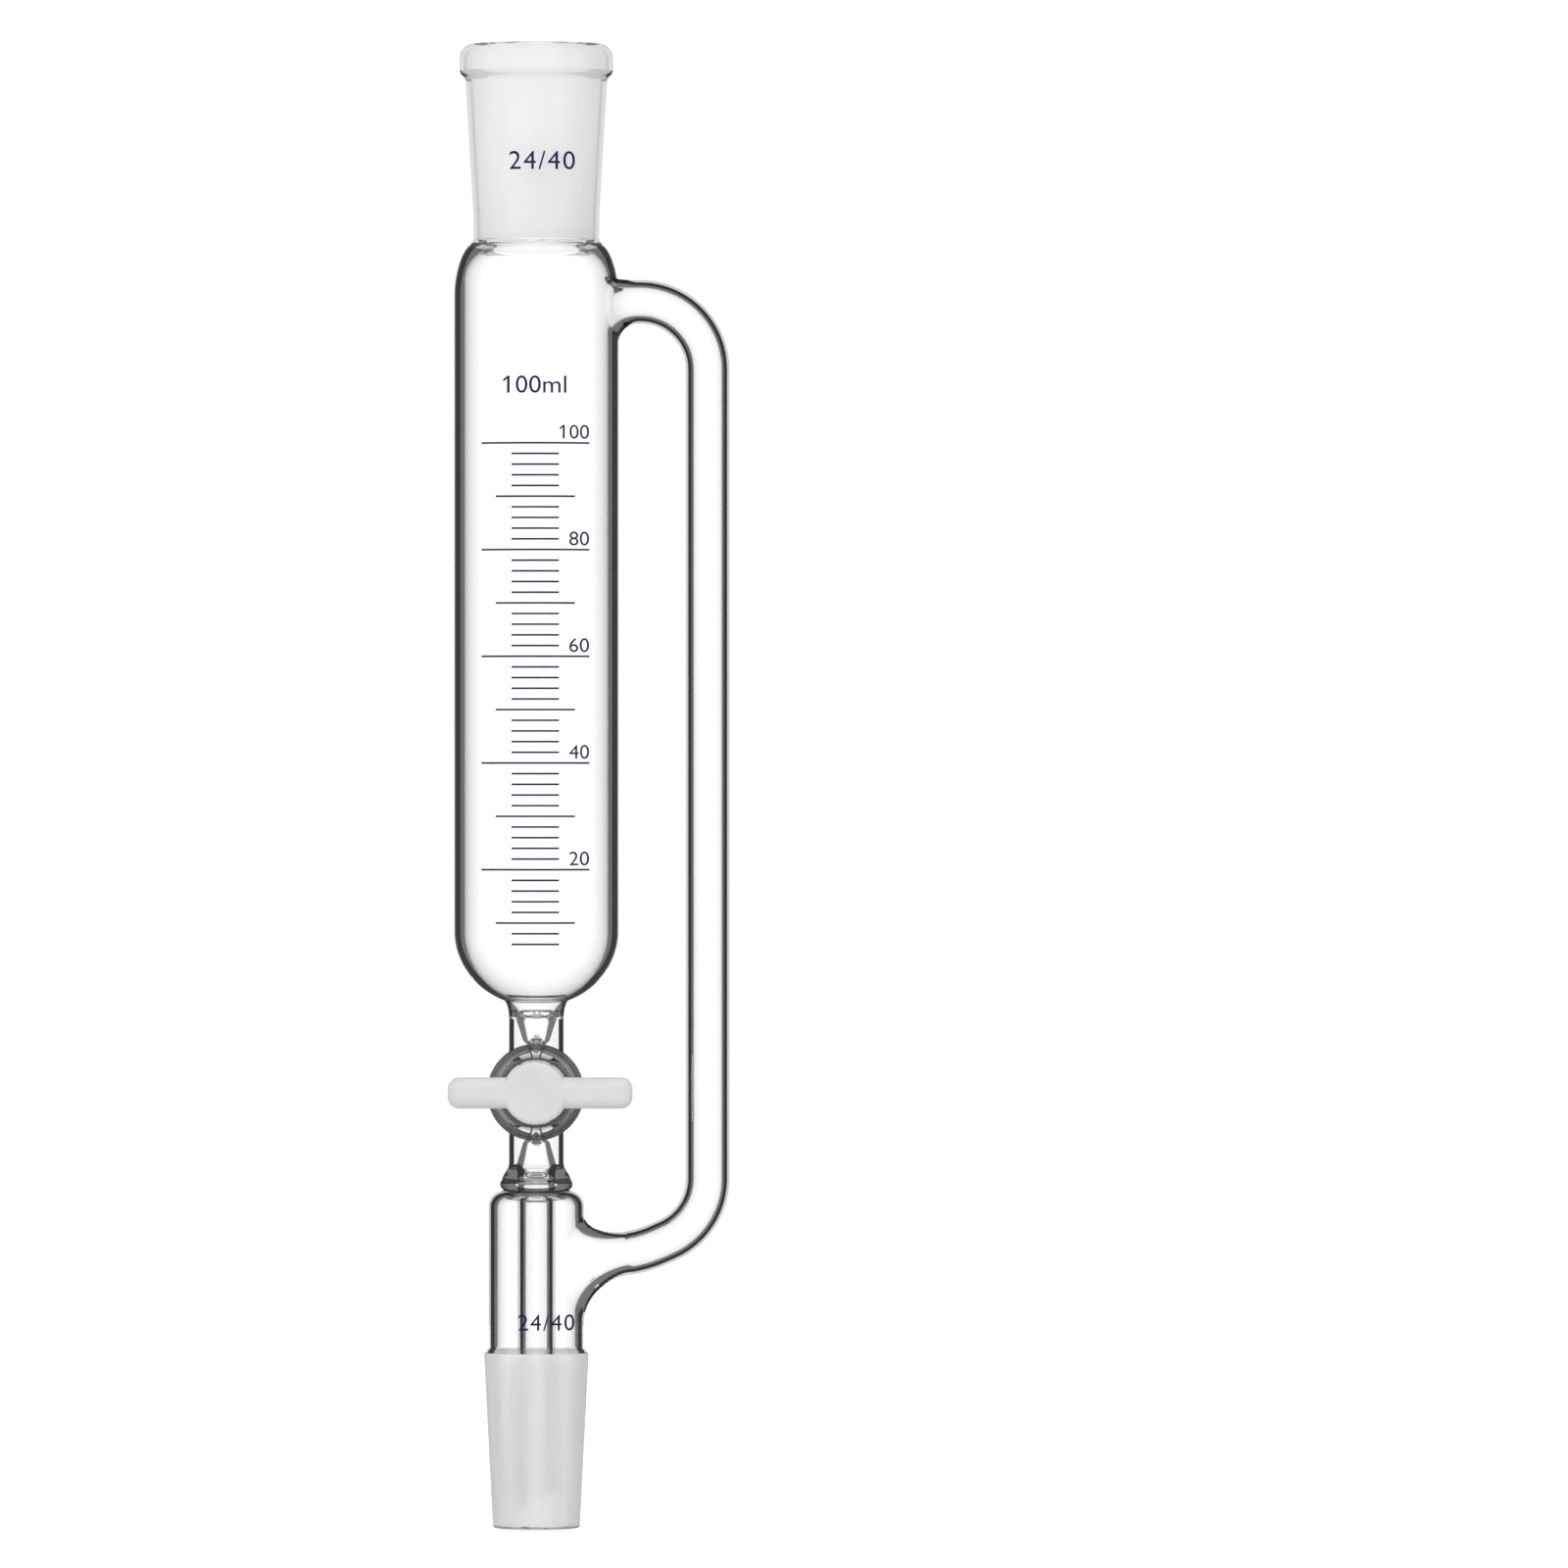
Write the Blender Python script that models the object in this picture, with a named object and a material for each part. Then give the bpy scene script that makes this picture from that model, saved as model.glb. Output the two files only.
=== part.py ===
# Pressure-equalizing addition funnel, 100 ml, with two ground joints.
# Metres, +Z up the main axis, -Y towards the front of the stopcock, +X towards the side arm.
# The origin is the centre of the ground cone's large end, where the funnel seats in a flask.

import math

import bpy
import bmesh
from mathutils import Matrix, Vector

# Ground joints, one in ten on the diameter
joint_large_radius = 0.0120
joint_small_radius = 0.0100
joint_length = 0.0400
cone_wall = 0.0020
cone_bead_rise = 0.0014
cone_tip_round = 0.0007
cone_mouth_round = 0.0008

# Levels, each measured up from the one below
jacket_height = 0.0373
stopcock_rise = 0.0228
bowl_rise = 0.0210
reservoir_length = 0.1460
shoulder_height = 0.0118
socket_height = 0.0457

# Jacket around the drip tube, and the drip tube
jacket_radius = 0.0109
jacket_wall = 0.0019
jacket_corner = 0.0036
drip_radius = 0.0044
drip_bore_radius = 0.0025
drip_length = 0.0708
drip_fillet = 0.0012
drip_slant = math.radians(30)
seal_ring_radius = 0.0083
seal_ring_height = 0.0062
seal_ring_bead = 0.0012
seal_pinch_radius = 0.0074

# Stem and the bore to the stopcock
stem_radius = 0.00625
stem_mouth_radius = 0.0077
stem_flare_length = 0.0044
stem_bore_radius = 0.0031
funnel_mouth_radius = 0.0063
funnel_throat_radius = 0.0039
funnel_rise = 0.0014
funnel_drop = 0.0032
port_radius = 0.0015

# Reservoir
reservoir_radius = 0.01885
reservoir_wall = 0.0023
bowl_depth = 0.0172
shoulder_radius = 0.0176
shoulder_corner = 0.0024

# Socket and its beaded rim
socket_root_radius = 0.0144
socket_top_radius = 0.0162
rim_radius = 0.0176
rim_height = 0.0078
rim_top_round = 0.0032
rim_under_round = 0.0020
rim_chamfer = 0.0005
socket_root_length = 0.0064

# Side arm
arm_radius = 0.0050
arm_wall = 0.0017
arm_reach = 0.0393
arm_bend = 0.0155
arm_top_drop = 0.0134
arm_foot_height = 0.0216
arm_slope = math.radians(20)
arm_root_radius = 0.0086
arm_root_reach = 0.0034
arm_foot_radius = 0.0094
arm_foot_reach = 0.0055

# Stopcock barrel and its tapered bore, one in five on the diameter
barrel_length = 0.0300
barrel_wall = 0.0032
barrel_bead = 0.0005
barrel_bead_length = 0.0032
barrel_round = 0.0011
barrel_bore_radius = 0.0074
barrel_taper = 0.10

# Stopcock plug with its handle
plug_clearance = 0.00025
plug_bore_radius = 0.0015
hub_length = 0.0090
handle_left = 0.0199
handle_right = 0.0222
handle_height = 0.0071
handle_depth = 0.0062
handle_round = 0.0026
handle_edge = 0.0011
thread_radius = 0.0034
thread_length = 0.0115
plug_edge = 0.0004

# Washer, O-ring and nut on the plug's small end
seat_gap = 0.0003
washer_radius = 0.0072
washer_thickness = 0.0016
washer_edge = 0.0002
ring_section = 0.0018
nut_radius = 0.0078
nut_length = 0.0062
nut_edge = 0.0006
nut_groove_radius = 0.0009
nut_groove_count = 12

# Scale lines, raised enamel fused on the reservoir
line_height = 0.0004
line_relief = 0.00012
line_root = 0.0004
line_pitch = 0.002437
line_count = 48
lines_to_ten = 2
lines_per_fifty = 5
lowest_line_rise = 0.0131
long_line_half = 0.01225
mid_line_half = 0.0090
short_line_half = 0.0054
line_step = math.radians(14)

# Facets around each kind of round surface
body_segments = 36
barrel_segments = 32
tube_segments = 16
bore_segments = 12
section_segments = 8

# Levels worked out from the lengths above
stopcock_level = jacket_height + stopcock_rise
bowl_level = stopcock_level + bowl_rise
bowl_drop = bowl_depth * math.sqrt(1 - (stem_mouth_radius / reservoir_radius) ** 2)
straight_low = bowl_level + bowl_drop
straight_high = straight_low + reservoir_length
socket_low = straight_high + shoulder_height
top_level = socket_low + socket_height
joint_slope = (joint_large_radius - joint_small_radius) / joint_length
overrun = 0.004
flare_root = 0.0008


def arc(centre_r, centre_z, radius_r, radius_z, start, end, steps):
    """Points of an elliptical arc, angles in degrees from +R towards +Z."""
    points = []
    for i in range(steps + 1):
        angle = math.radians(start + (end - start) * i / steps)
        points.append((centre_r + radius_r * math.cos(angle), centre_z + radius_z * math.sin(angle)))
    return points


def reservoir_radius_at(level):
    """Outer radius of the straight reservoir, of its bowl below or of its shoulder above."""
    if level < straight_low:
        return reservoir_radius * math.sqrt(1 - ((straight_low - level) / bowl_depth) ** 2)
    if level > straight_high:
        share = (level - straight_high) / (shoulder_height - shoulder_corner)
        return reservoir_radius + (shoulder_radius - reservoir_radius) * min(share, 1)
    return reservoir_radius


def jacket_radius_at(level):
    return jacket_radius


def add_mesh(name, bm):
    bmesh.ops.remove_doubles(bm, verts=bm.verts, dist=1e-7)
    bmesh.ops.recalc_face_normals(bm, faces=bm.faces)
    mesh = bpy.data.meshes.new(name)
    bm.to_mesh(mesh)
    bm.free()
    obj = bpy.data.objects.new(name, mesh)
    bpy.context.scene.collection.objects.link(obj)
    return obj


def skin_rings(bm, rings):
    """Closed skin over a row of vertex rings, with a flat cap at each end."""
    for lower, upper in zip(rings, rings[1:]):
        count = len(lower)
        for i in range(count):
            j = (i + 1) % count
            bm.faces.new((lower[i], lower[j], upper[j], upper[i]))
    bm.faces.new(reversed(rings[0]))
    bm.faces.new(rings[-1])


def turned(name, profile, segments, along_y=False, centre=(0, 0, 0)):
    """Solid turned about Z, or about Y, from (radius, distance along the axis) points."""
    bm = bmesh.new()
    rings = []
    for radius, distance in profile:
        ring = []
        for i in range(segments):
            angle = 2 * math.pi * (i + 0.5) / segments
            side = radius * math.cos(angle)
            rise = radius * math.sin(angle)
            place = (side, distance, rise) if along_y else (side, rise, distance)
            ring.append(bm.verts.new(Vector(place) + Vector(centre)))
        rings.append(ring)
    skin_rings(bm, rings)
    return add_mesh(name, bm)


def combine(target, tool, operation):
    """Applies a Boolean of the tool to the target and removes the tool."""
    modifier = target.modifiers.new(operation, "BOOLEAN")
    modifier.operation = operation
    modifier.solver = "EXACT"
    modifier.object = tool
    depsgraph = bpy.context.evaluated_depsgraph_get()
    mesh = bpy.data.meshes.new_from_object(target.evaluated_get(depsgraph))
    target.modifiers.remove(modifier)
    old_mesh = target.data
    target.data = mesh
    bpy.data.meshes.remove(old_mesh)
    bpy.data.objects.remove(tool)


def body_outline():
    """Outside of everything turned about the main axis, rim to cone."""
    neck_level = top_level - rim_height
    points = [(joint_large_radius + rim_chamfer, top_level)]
    points += arc(rim_radius - rim_top_round, top_level - rim_top_round,
                  rim_top_round, rim_top_round, 90, 0, 4)
    points += arc(rim_radius - rim_under_round, neck_level + rim_under_round,
                  rim_under_round, rim_under_round, 0, -60, 2)
    points.append((socket_top_radius, neck_level - rim_chamfer))
    points.append((socket_root_radius, socket_low + socket_root_length))
    points.append((socket_root_radius, socket_low + rim_chamfer))
    points += arc(shoulder_radius - shoulder_corner, socket_low - shoulder_corner,
                  shoulder_corner, shoulder_corner, 80, 0, 4)
    points.append((reservoir_radius, straight_high))
    mouth_angle = math.degrees(math.acos(stem_mouth_radius / reservoir_radius))
    points += arc(0, straight_low, reservoir_radius, bowl_depth, 0, -mouth_angle, 8)
    points += arc(stem_mouth_radius, bowl_level - stem_flare_length, stem_mouth_radius - stem_radius,
                  stem_flare_length, 90, 180, 3)[1:]
    points.append((stem_radius, jacket_height + seal_ring_height))
    points.append((stem_radius * 0.8 + seal_ring_radius * 0.2, jacket_height + seal_ring_height * 0.75))
    points += arc(seal_ring_radius - seal_ring_bead, jacket_height + seal_ring_bead,
                  seal_ring_bead, seal_ring_bead, 50, -60, 3)
    points.append((seal_pinch_radius, jacket_height))
    points += arc(jacket_radius - jacket_corner, jacket_height - jacket_corner, jacket_corner,
                  jacket_corner, 80, 0, 4)
    points.append((jacket_radius, cone_bead_rise))
    points.append((joint_large_radius - joint_slope * cone_tip_round, -cone_tip_round))
    points.append((joint_small_radius + joint_slope * cone_tip_round, cone_tip_round - joint_length))
    points += arc(joint_small_radius - cone_tip_round, cone_tip_round - joint_length,
                  cone_tip_round, cone_tip_round, -10, -90, 3)
    return points


def reservoir_hollow():
    """Ground socket bore, the room below it and the bowl down to the stem's mouth."""
    inner_radius = reservoir_radius - reservoir_wall
    inner_shoulder = shoulder_radius - reservoir_wall
    inner_corner = shoulder_corner + rim_chamfer * 2
    points = [(joint_large_radius + rim_chamfer, top_level + overrun)]
    points.append((joint_large_radius + rim_chamfer, top_level))
    points.append((joint_large_radius, top_level - rim_chamfer * 2))
    points.append((joint_small_radius, top_level - joint_length))
    points.append((joint_small_radius, socket_low + rim_chamfer))
    points += arc(inner_shoulder - inner_corner, socket_low - reservoir_wall - inner_corner,
                  inner_corner, inner_corner, 75, 0, 3)
    points.append((inner_radius, straight_high))
    points += arc(0, straight_low, inner_radius, bowl_depth - reservoir_wall, 0, -72, 6)
    return points


def stem_bore():
    """Funnel from the bowl to the stopcock, then on to the drip tube's tip."""
    bowl_floor = straight_low - bowl_depth + reservoir_wall
    port_reach = barrel_bore_radius + barrel_wall
    points = [(funnel_mouth_radius, bowl_floor + funnel_rise)]
    points.append((funnel_throat_radius, bowl_floor - funnel_rise))
    points.append((stem_bore_radius, bowl_level - funnel_drop))
    points.append((port_radius, stopcock_level + port_reach))
    points.append((port_radius, stopcock_level - port_reach))
    points.append((stem_bore_radius, jacket_height + seal_ring_height))
    points.append((drip_bore_radius, jacket_height - jacket_wall))
    points.append((drip_bore_radius, jacket_height - drip_length - overrun))
    return points


def jacket_hollow():
    """Room inside the jacket and the ground cone, before the drip tube is added."""
    inner_radius = jacket_radius - jacket_wall
    inner_corner = jacket_corner - jacket_wall * 0.6
    roof = jacket_height - jacket_wall
    mouth_radius = joint_small_radius - cone_wall + cone_mouth_round
    points = arc(inner_radius - inner_corner, roof - inner_corner, inner_corner, inner_corner, 90, 0, 3)
    points.append((inner_radius, cone_bead_rise))
    points.append((joint_large_radius - cone_wall, -cone_bead_rise))
    points.append((joint_small_radius - cone_wall, cone_mouth_round - joint_length))
    points.append((mouth_radius, -joint_length))
    points.append((mouth_radius, -joint_length - overrun))
    return points


def drip_tube():
    """Tube that hangs from the jacket's roof, its tip cut at a slant."""
    drip_end = jacket_height - drip_length
    slant_drop = drip_radius * math.tan(drip_slant)
    roof = jacket_height - jacket_wall
    points = [(drip_radius + drip_fillet, jacket_height - jacket_wall / 2)]
    points += arc(drip_radius + drip_fillet, roof - drip_fillet, drip_fillet, drip_fillet, 90, 180, 3)
    points.append((drip_radius, drip_end - slant_drop))
    tube = turned("drip_tube", points, tube_segments)
    bm = bmesh.new()
    bm.from_mesh(tube.data)
    cut = bmesh.ops.bisect_plane(bm, geom=bm.verts[:] + bm.edges[:] + bm.faces[:],
                                 plane_co=(0, 0, drip_end + slant_drop),
                                 plane_no=(math.sin(drip_slant), 0, -math.cos(drip_slant)),
                                 clear_outer=True)
    edges = [item for item in cut["geom_cut"] if isinstance(item, bmesh.types.BMEdge)]
    bmesh.ops.contextual_create(bm, geom=edges)
    bm.to_mesh(tube.data)
    bm.free()
    return tube


def arm_path():
    """Centre line of the side arm between its two flares, as (x, z) points with headings."""
    root_level = socket_low - arm_top_drop
    bend_x = arm_reach - arm_bend
    stations = []
    for i in range(8):
        angle = math.radians(90 - 90 * i / 7)
        place = (bend_x + arm_bend * math.cos(angle), root_level - arm_bend + arm_bend * math.sin(angle))
        stations.append((place, (math.sin(angle), -math.cos(angle))))
    turn = math.pi / 2 - arm_slope
    end = Vector((jacket_radius + arm_foot_reach, arm_foot_height))
    slope_run = bend_x + arm_bend * math.cos(turn) - end.x
    bend_low = arm_foot_height + slope_run * math.tan(arm_slope) * 0.72 + arm_bend * math.sin(turn)
    for i in range(7):
        angle = -turn * i / 6
        place = (bend_x + arm_bend * math.cos(angle), bend_low + arm_bend * math.sin(angle))
        stations.append((place, (math.sin(angle), -math.cos(angle))))
    last = Vector(stations[-1][0])
    heading = Vector(stations[-1][1])
    pull = (last - end).length * 0.4
    controls = (last, last + heading * pull, end + Vector((pull, 0)), end)
    for t in (0.3, 0.55, 0.8):
        weights = ((1 - t) ** 3, 3 * t * (1 - t) ** 2, 3 * t * t * (1 - t), t ** 3)
        place = sum((c * w for c, w in zip(controls, weights)), Vector((0, 0)))
        slopes = (-3 * (1 - t) ** 2, 3 * (1 - t) * (1 - 3 * t), 3 * t * (2 - 3 * t), 3 * t * t)
        tangent = sum((c * w for c, w in zip(controls, slopes)), Vector((0, 0))).normalized()
        stations.append((tuple(place), tuple(tangent)))
    return stations


def flare_rings(level, wall_at, depth, tube_radius, mouth_radius, reach):
    """Rings that widen a level tube into a round wall, following the wall's curve."""
    steps = [(mouth_radius, -flare_root, 1)]
    for i in range(5):
        angle = math.radians(90 * i / 4)
        away = reach * (1 - math.cos(angle))
        steps.append((mouth_radius - (mouth_radius - tube_radius) * math.sin(angle), away, 1 - away / reach))
    placed = []
    for radius, away, drape in steps:
        ring = []
        for j in range(tube_segments):
            angle = 2 * math.pi * j / tube_segments
            z = level + radius * math.sin(angle)
            wall_radius = wall_at(z) - depth
            side = min(radius, wall_radius * 0.85) * math.cos(angle)
            round_x = math.sqrt(wall_radius ** 2 - side ** 2)
            level_x = wall_at(level) - depth
            ring.append((level_x + away + (round_x - level_x) * drape, side, z))
        placed.append(ring)
    return placed


def side_arm(name, inside):
    """Side arm's outer skin, or its hollow, from the reservoir wall to the jacket wall."""
    tube_radius = arm_radius - arm_wall if inside else arm_radius
    root_depth = reservoir_wall if inside else 0
    foot_depth = jacket_wall if inside else 0
    upper = flare_rings(socket_low - arm_top_drop, reservoir_radius_at, root_depth, tube_radius,
                        arm_root_radius, arm_root_reach + root_depth)
    lower = flare_rings(arm_foot_height, jacket_radius_at, foot_depth, tube_radius,
                        arm_foot_radius, arm_foot_reach + foot_depth)
    middle = []
    for (x, z), (dx, dz) in arm_path():
        ring = []
        for j in range(tube_segments):
            angle = 2 * math.pi * j / tube_segments
            across = tube_radius * math.sin(angle)
            ring.append((x - dz * across, tube_radius * math.cos(angle), z + dx * across))
        middle.append(ring)
    turned_over = [[ring[-j % tube_segments] for j in range(tube_segments)] for ring in reversed(lower)]
    bm = bmesh.new()
    rings = [[bm.verts.new(place) for place in ring] for ring in upper + middle + turned_over]
    skin_rings(bm, rings)
    return add_mesh(name, bm)


def barrel_outline():
    """Outside of the stopcock barrel, with a bead at each end."""
    half = barrel_length / 2
    front = barrel_bore_radius + barrel_wall + barrel_bead
    back = barrel_bore_radius - barrel_taper * barrel_length + barrel_wall
    points = arc(front - barrel_round, barrel_round - half, barrel_round, barrel_round, -90, 0, 4)
    points.append((front, barrel_bead_length - half))
    points.append((front - barrel_bead, barrel_bead_length * 1.5 - half))
    points.append((back, half - barrel_bead_length))
    points.append((back + barrel_bead, half - barrel_bead_length * 0.7))
    points += arc(back + barrel_bead - barrel_round, half - barrel_round,
                  barrel_round, barrel_round, 0, 90, 3)
    return points


def scale_lines():
    """Raised bars around the front of the reservoir, one each two millilitres."""
    bm = bmesh.new()
    for index in range(line_count):
        level = bowl_level + lowest_line_rise + index * line_pitch
        step = index - lines_to_ten
        half_width = short_line_half
        if step >= 0 and step % lines_per_fifty == 0:
            half_width = mid_line_half if (step // lines_per_fifty) % 2 == 0 else long_line_half
        span = math.asin(half_width / reservoir_radius)
        parts = max(2, round(2 * span / line_step))
        rings = []
        for i in range(parts + 1):
            angle = -math.pi / 2 - span + 2 * span * i / parts
            ring = []
            for away, rise in ((line_relief, -0.5), (line_relief, 0.5), (-line_root, 0.5),
                               (-line_root, -0.5)):
                z = level + rise * line_height
                radius = reservoir_radius_at(z) + away
                ring.append(bm.verts.new((radius * math.cos(angle), radius * math.sin(angle), z)))
            rings.append(ring)
        skin_rings(bm, rings)
    return add_mesh("scale_lines", bm)


def glass_body():
    body = turned("glass_body", body_outline(), body_segments)
    centre = (0, 0, stopcock_level)
    combine(body, turned("barrel", barrel_outline(), barrel_segments, True, centre), "UNION")
    combine(body, side_arm("arm", False), "UNION")
    combine(body, turned("reservoir_hollow", reservoir_hollow(), body_segments), "DIFFERENCE")
    combine(body, turned("jacket_hollow", jacket_hollow(), body_segments), "DIFFERENCE")
    combine(body, side_arm("arm_bore", True), "DIFFERENCE")
    combine(body, drip_tube(), "UNION")
    combine(body, turned("stem_bore", stem_bore(), bore_segments), "DIFFERENCE")
    reach = barrel_length / 2 + overrun
    bore = [(barrel_bore_radius + barrel_taper * overrun, -reach),
            (barrel_bore_radius - barrel_taper * (barrel_length + overrun), reach)]
    combine(body, turned("barrel_bore", bore, barrel_segments, True, centre), "DIFFERENCE")
    combine(body, scale_lines(), "UNION")
    return body


def stopcock_plug():
    """Tapered key with its handle, cross bore and threaded end."""
    half = barrel_length / 2
    front = -half - hub_length
    hub_radius = barrel_bore_radius - plug_clearance
    small = hub_radius - barrel_taper * barrel_length
    points = [(hub_radius - plug_edge, front), (hub_radius, front + plug_edge), (hub_radius, -half)]
    points.append((small, half))
    points.append((thread_radius, half + seat_gap))
    points.append((thread_radius, half + thread_length - plug_edge))
    points.append((thread_radius - plug_edge, half + thread_length))
    plug = turned("stopcock_plug", points, barrel_segments, True)
    combine(plug, handle_bar(front), "UNION")
    hole = turned("plug_bore", [(plug_bore_radius, -half), (plug_bore_radius, half)], bore_segments)
    hole.data.transform(Matrix.Rotation(math.pi / 2, 4, "Y"))
    combine(plug, hole, "DIFFERENCE")
    return plug


def handle_bar(front):
    """Bar across the hub, its long edges and ends rounded."""
    bm = bmesh.new()
    bmesh.ops.create_cube(bm, size=1)
    length = handle_left + handle_right
    bmesh.ops.scale(bm, verts=bm.verts, vec=(length, handle_depth, handle_height))
    middle = ((handle_right - handle_left) / 2, front + handle_depth / 2, 0)
    bmesh.ops.translate(bm, verts=bm.verts, vec=middle)
    upright = [edge for edge in bm.edges if abs(edge.verts[0].co.y - edge.verts[1].co.y) > handle_depth / 2]
    bmesh.ops.bevel(bm, geom=upright, offset=handle_round, segments=5, profile=0.5, affect="EDGES")
    rim = [edge for edge in bm.edges if abs(edge.verts[0].co.y - edge.verts[1].co.y) < 1e-6]
    bmesh.ops.bevel(bm, geom=rim, offset=handle_edge, segments=3, profile=0.5, affect="EDGES")
    return add_mesh("handle_bar", bm)


def sleeve(name, inner, outer, length, start, edge):
    """Turned ring about the stopcock's axis, with small chamfers outside."""
    points = [(outer - edge, start), (outer, start + edge), (outer, start + length - edge)]
    points.append((outer - edge, start + length))
    ring = turned(name, points, barrel_segments, True)
    hole = turned(name + "_hole", [(inner, start - overrun), (inner, start + length + overrun)],
                  tube_segments, True)
    combine(ring, hole, "DIFFERENCE")
    return ring


def o_ring(start):
    """Round ring between the washer and the nut."""
    bm = bmesh.new()
    section = ring_section / 2
    middle = thread_radius + seat_gap + section
    rings = []
    for i in range(barrel_segments):
        turn = 2 * math.pi * i / barrel_segments
        ring = []
        for j in range(section_segments):
            angle = 2 * math.pi * j / section_segments
            reach = middle + section * math.cos(angle)
            ring.append(bm.verts.new((reach * math.cos(turn), start + section + section * math.sin(angle),
                                      reach * math.sin(turn))))
        rings.append(ring)
    for lower, upper in zip(rings, rings[1:] + rings[:1]):
        for j in range(section_segments):
            k = (j + 1) % section_segments
            bm.faces.new((lower[j], lower[k], upper[k], upper[j]))
    return add_mesh("plug_o_ring", bm)


def plug_nut(start):
    """Round nut with grip grooves along its side."""
    nut = sleeve("plug_nut", thread_radius + seat_gap, nut_radius, nut_length, start, nut_edge)
    for i in range(nut_groove_count):
        angle = 2 * math.pi * i / nut_groove_count
        centre = (nut_radius * math.cos(angle), 0, nut_radius * math.sin(angle))
        groove = turned("groove", [(nut_groove_radius, start - overrun),
                                   (nut_groove_radius, start + nut_length + overrun)], 8, True, centre)
        combine(nut, groove, "DIFFERENCE")
    return nut


def finish(obj, colour, roughness, transmission=0.0):
    material = bpy.data.materials.new(obj.name)
    material.use_nodes = True
    shader = material.node_tree.nodes["Principled BSDF"]
    shader.inputs["Base Color"].default_value = (*colour, 1)
    shader.inputs["Roughness"].default_value = roughness
    shader.inputs["Metallic"].default_value = 0
    shader.inputs["Transmission Weight"].default_value = transmission
    obj.data.materials.clear()
    obj.data.materials.append(material)
    obj.data.shade_smooth()
    obj.data.set_sharp_from_angle(angle=math.radians(35))


def build():
    for obj in list(bpy.data.objects):
        bpy.data.objects.remove(obj)
    finish(glass_body(), (0.93, 0.95, 0.95), 0.02, 0.95)
    pivot = bpy.data.objects.new("stopcock_axis", None)
    pivot.location = (0, 0, stopcock_level)
    bpy.context.scene.collection.objects.link(pivot)
    washer_start = barrel_length / 2 + seat_gap
    ring_start = washer_start + washer_thickness + seat_gap
    nut_start = ring_start + ring_section + seat_gap
    washer = sleeve("plug_washer", thread_radius + seat_gap, washer_radius, washer_thickness,
                    washer_start, washer_edge)
    turning = ((stopcock_plug(), (0.86, 0.86, 0.85), 0.45), (washer, (0.86, 0.86, 0.85), 0.45),
               (o_ring(ring_start), (0.03, 0.03, 0.03), 0.6), (plug_nut(nut_start), (0.86, 0.86, 0.85), 0.45))
    for obj, colour, roughness in turning:
        obj.parent = pivot
        finish(obj, colour, roughness)


build()
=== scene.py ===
import math

import bpy
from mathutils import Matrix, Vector


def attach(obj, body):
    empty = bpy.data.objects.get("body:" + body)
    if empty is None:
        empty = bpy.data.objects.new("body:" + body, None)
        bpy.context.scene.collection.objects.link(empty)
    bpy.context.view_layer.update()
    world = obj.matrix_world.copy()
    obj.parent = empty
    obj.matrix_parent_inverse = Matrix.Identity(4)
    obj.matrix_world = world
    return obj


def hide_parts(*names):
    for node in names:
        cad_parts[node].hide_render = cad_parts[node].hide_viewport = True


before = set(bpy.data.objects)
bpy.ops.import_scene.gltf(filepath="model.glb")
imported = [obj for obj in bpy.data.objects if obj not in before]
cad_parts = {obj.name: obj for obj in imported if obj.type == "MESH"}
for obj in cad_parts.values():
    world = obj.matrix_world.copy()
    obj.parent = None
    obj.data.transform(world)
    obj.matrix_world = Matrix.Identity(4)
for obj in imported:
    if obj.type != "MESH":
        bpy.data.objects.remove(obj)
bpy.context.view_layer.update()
print("frame loaded:", sorted(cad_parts))

# levels above the ground cone's large end, in metres
levels = {
    "coneTip": -0.0400,
    "jacketTop": 0.0373,
    "stopcock": 0.0601,
    "stemTop": 0.0811,
    "bowlTop": 0.09679,
    "shoulder": 0.24279,
    "socketFoot": 0.25459,
    "rimTop": 0.30029,
}


# small helpers for working in Object and Edit mode

mergeGap = 1e-7  # points closer than this many metres become one


def clearSelection():
    if bpy.context.object and bpy.context.object.mode == "EDIT":
        bpy.ops.object.mode_set(mode="OBJECT")
    bpy.ops.object.select_all(action="DESELECT")


def pickOnly(piece):
    clearSelection()
    piece.select_set(True)
    bpy.context.view_layer.objects.active = piece


def applyPlace(piece):
    pickOnly(piece)
    bpy.ops.object.transform_apply(location=True, rotation=True, scale=True)


def startEdit(action="SELECT"):
    bpy.ops.object.mode_set(mode="EDIT")
    bpy.ops.mesh.select_all(action=action)


def endEdit():
    bpy.ops.object.mode_set(mode="OBJECT")


def finishShell(merge=False):
    # ends an edit with all faces pointing out
    bpy.ops.mesh.select_all(action="SELECT")
    if merge:
        bpy.ops.mesh.remove_doubles(threshold=mergeGap)
    bpy.ops.mesh.normals_make_consistent(inside=False)
    endEdit()


def copyOf(piece):
    pickOnly(piece)
    bpy.ops.object.duplicate()
    return bpy.context.object


def joinPieces(pieces):
    clearSelection()
    for piece in pieces:
        piece.select_set(True)
    bpy.context.view_layer.objects.active = pieces[0]
    bpy.ops.object.join()
    return bpy.context.object


def arcPoints(centreR, centreZ, radiusR, radiusZ, start, end, steps):
    # angles in degrees from outwards to upwards
    turns = [math.radians(start + (end - start) * i / steps) for i in range(steps + 1)]
    return [(centreR + radiusR * math.cos(a), centreZ + radiusZ * math.sin(a)) for a in turns]


def linePoints(first, last, steps):
    # the points after the first one, evenly spaced
    shares = [i / steps for i in range(1, steps + 1)]
    return [(first[0] + (last[0] - first[0]) * s, first[1] + (last[1] - first[1]) * s) for s in shares]


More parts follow.
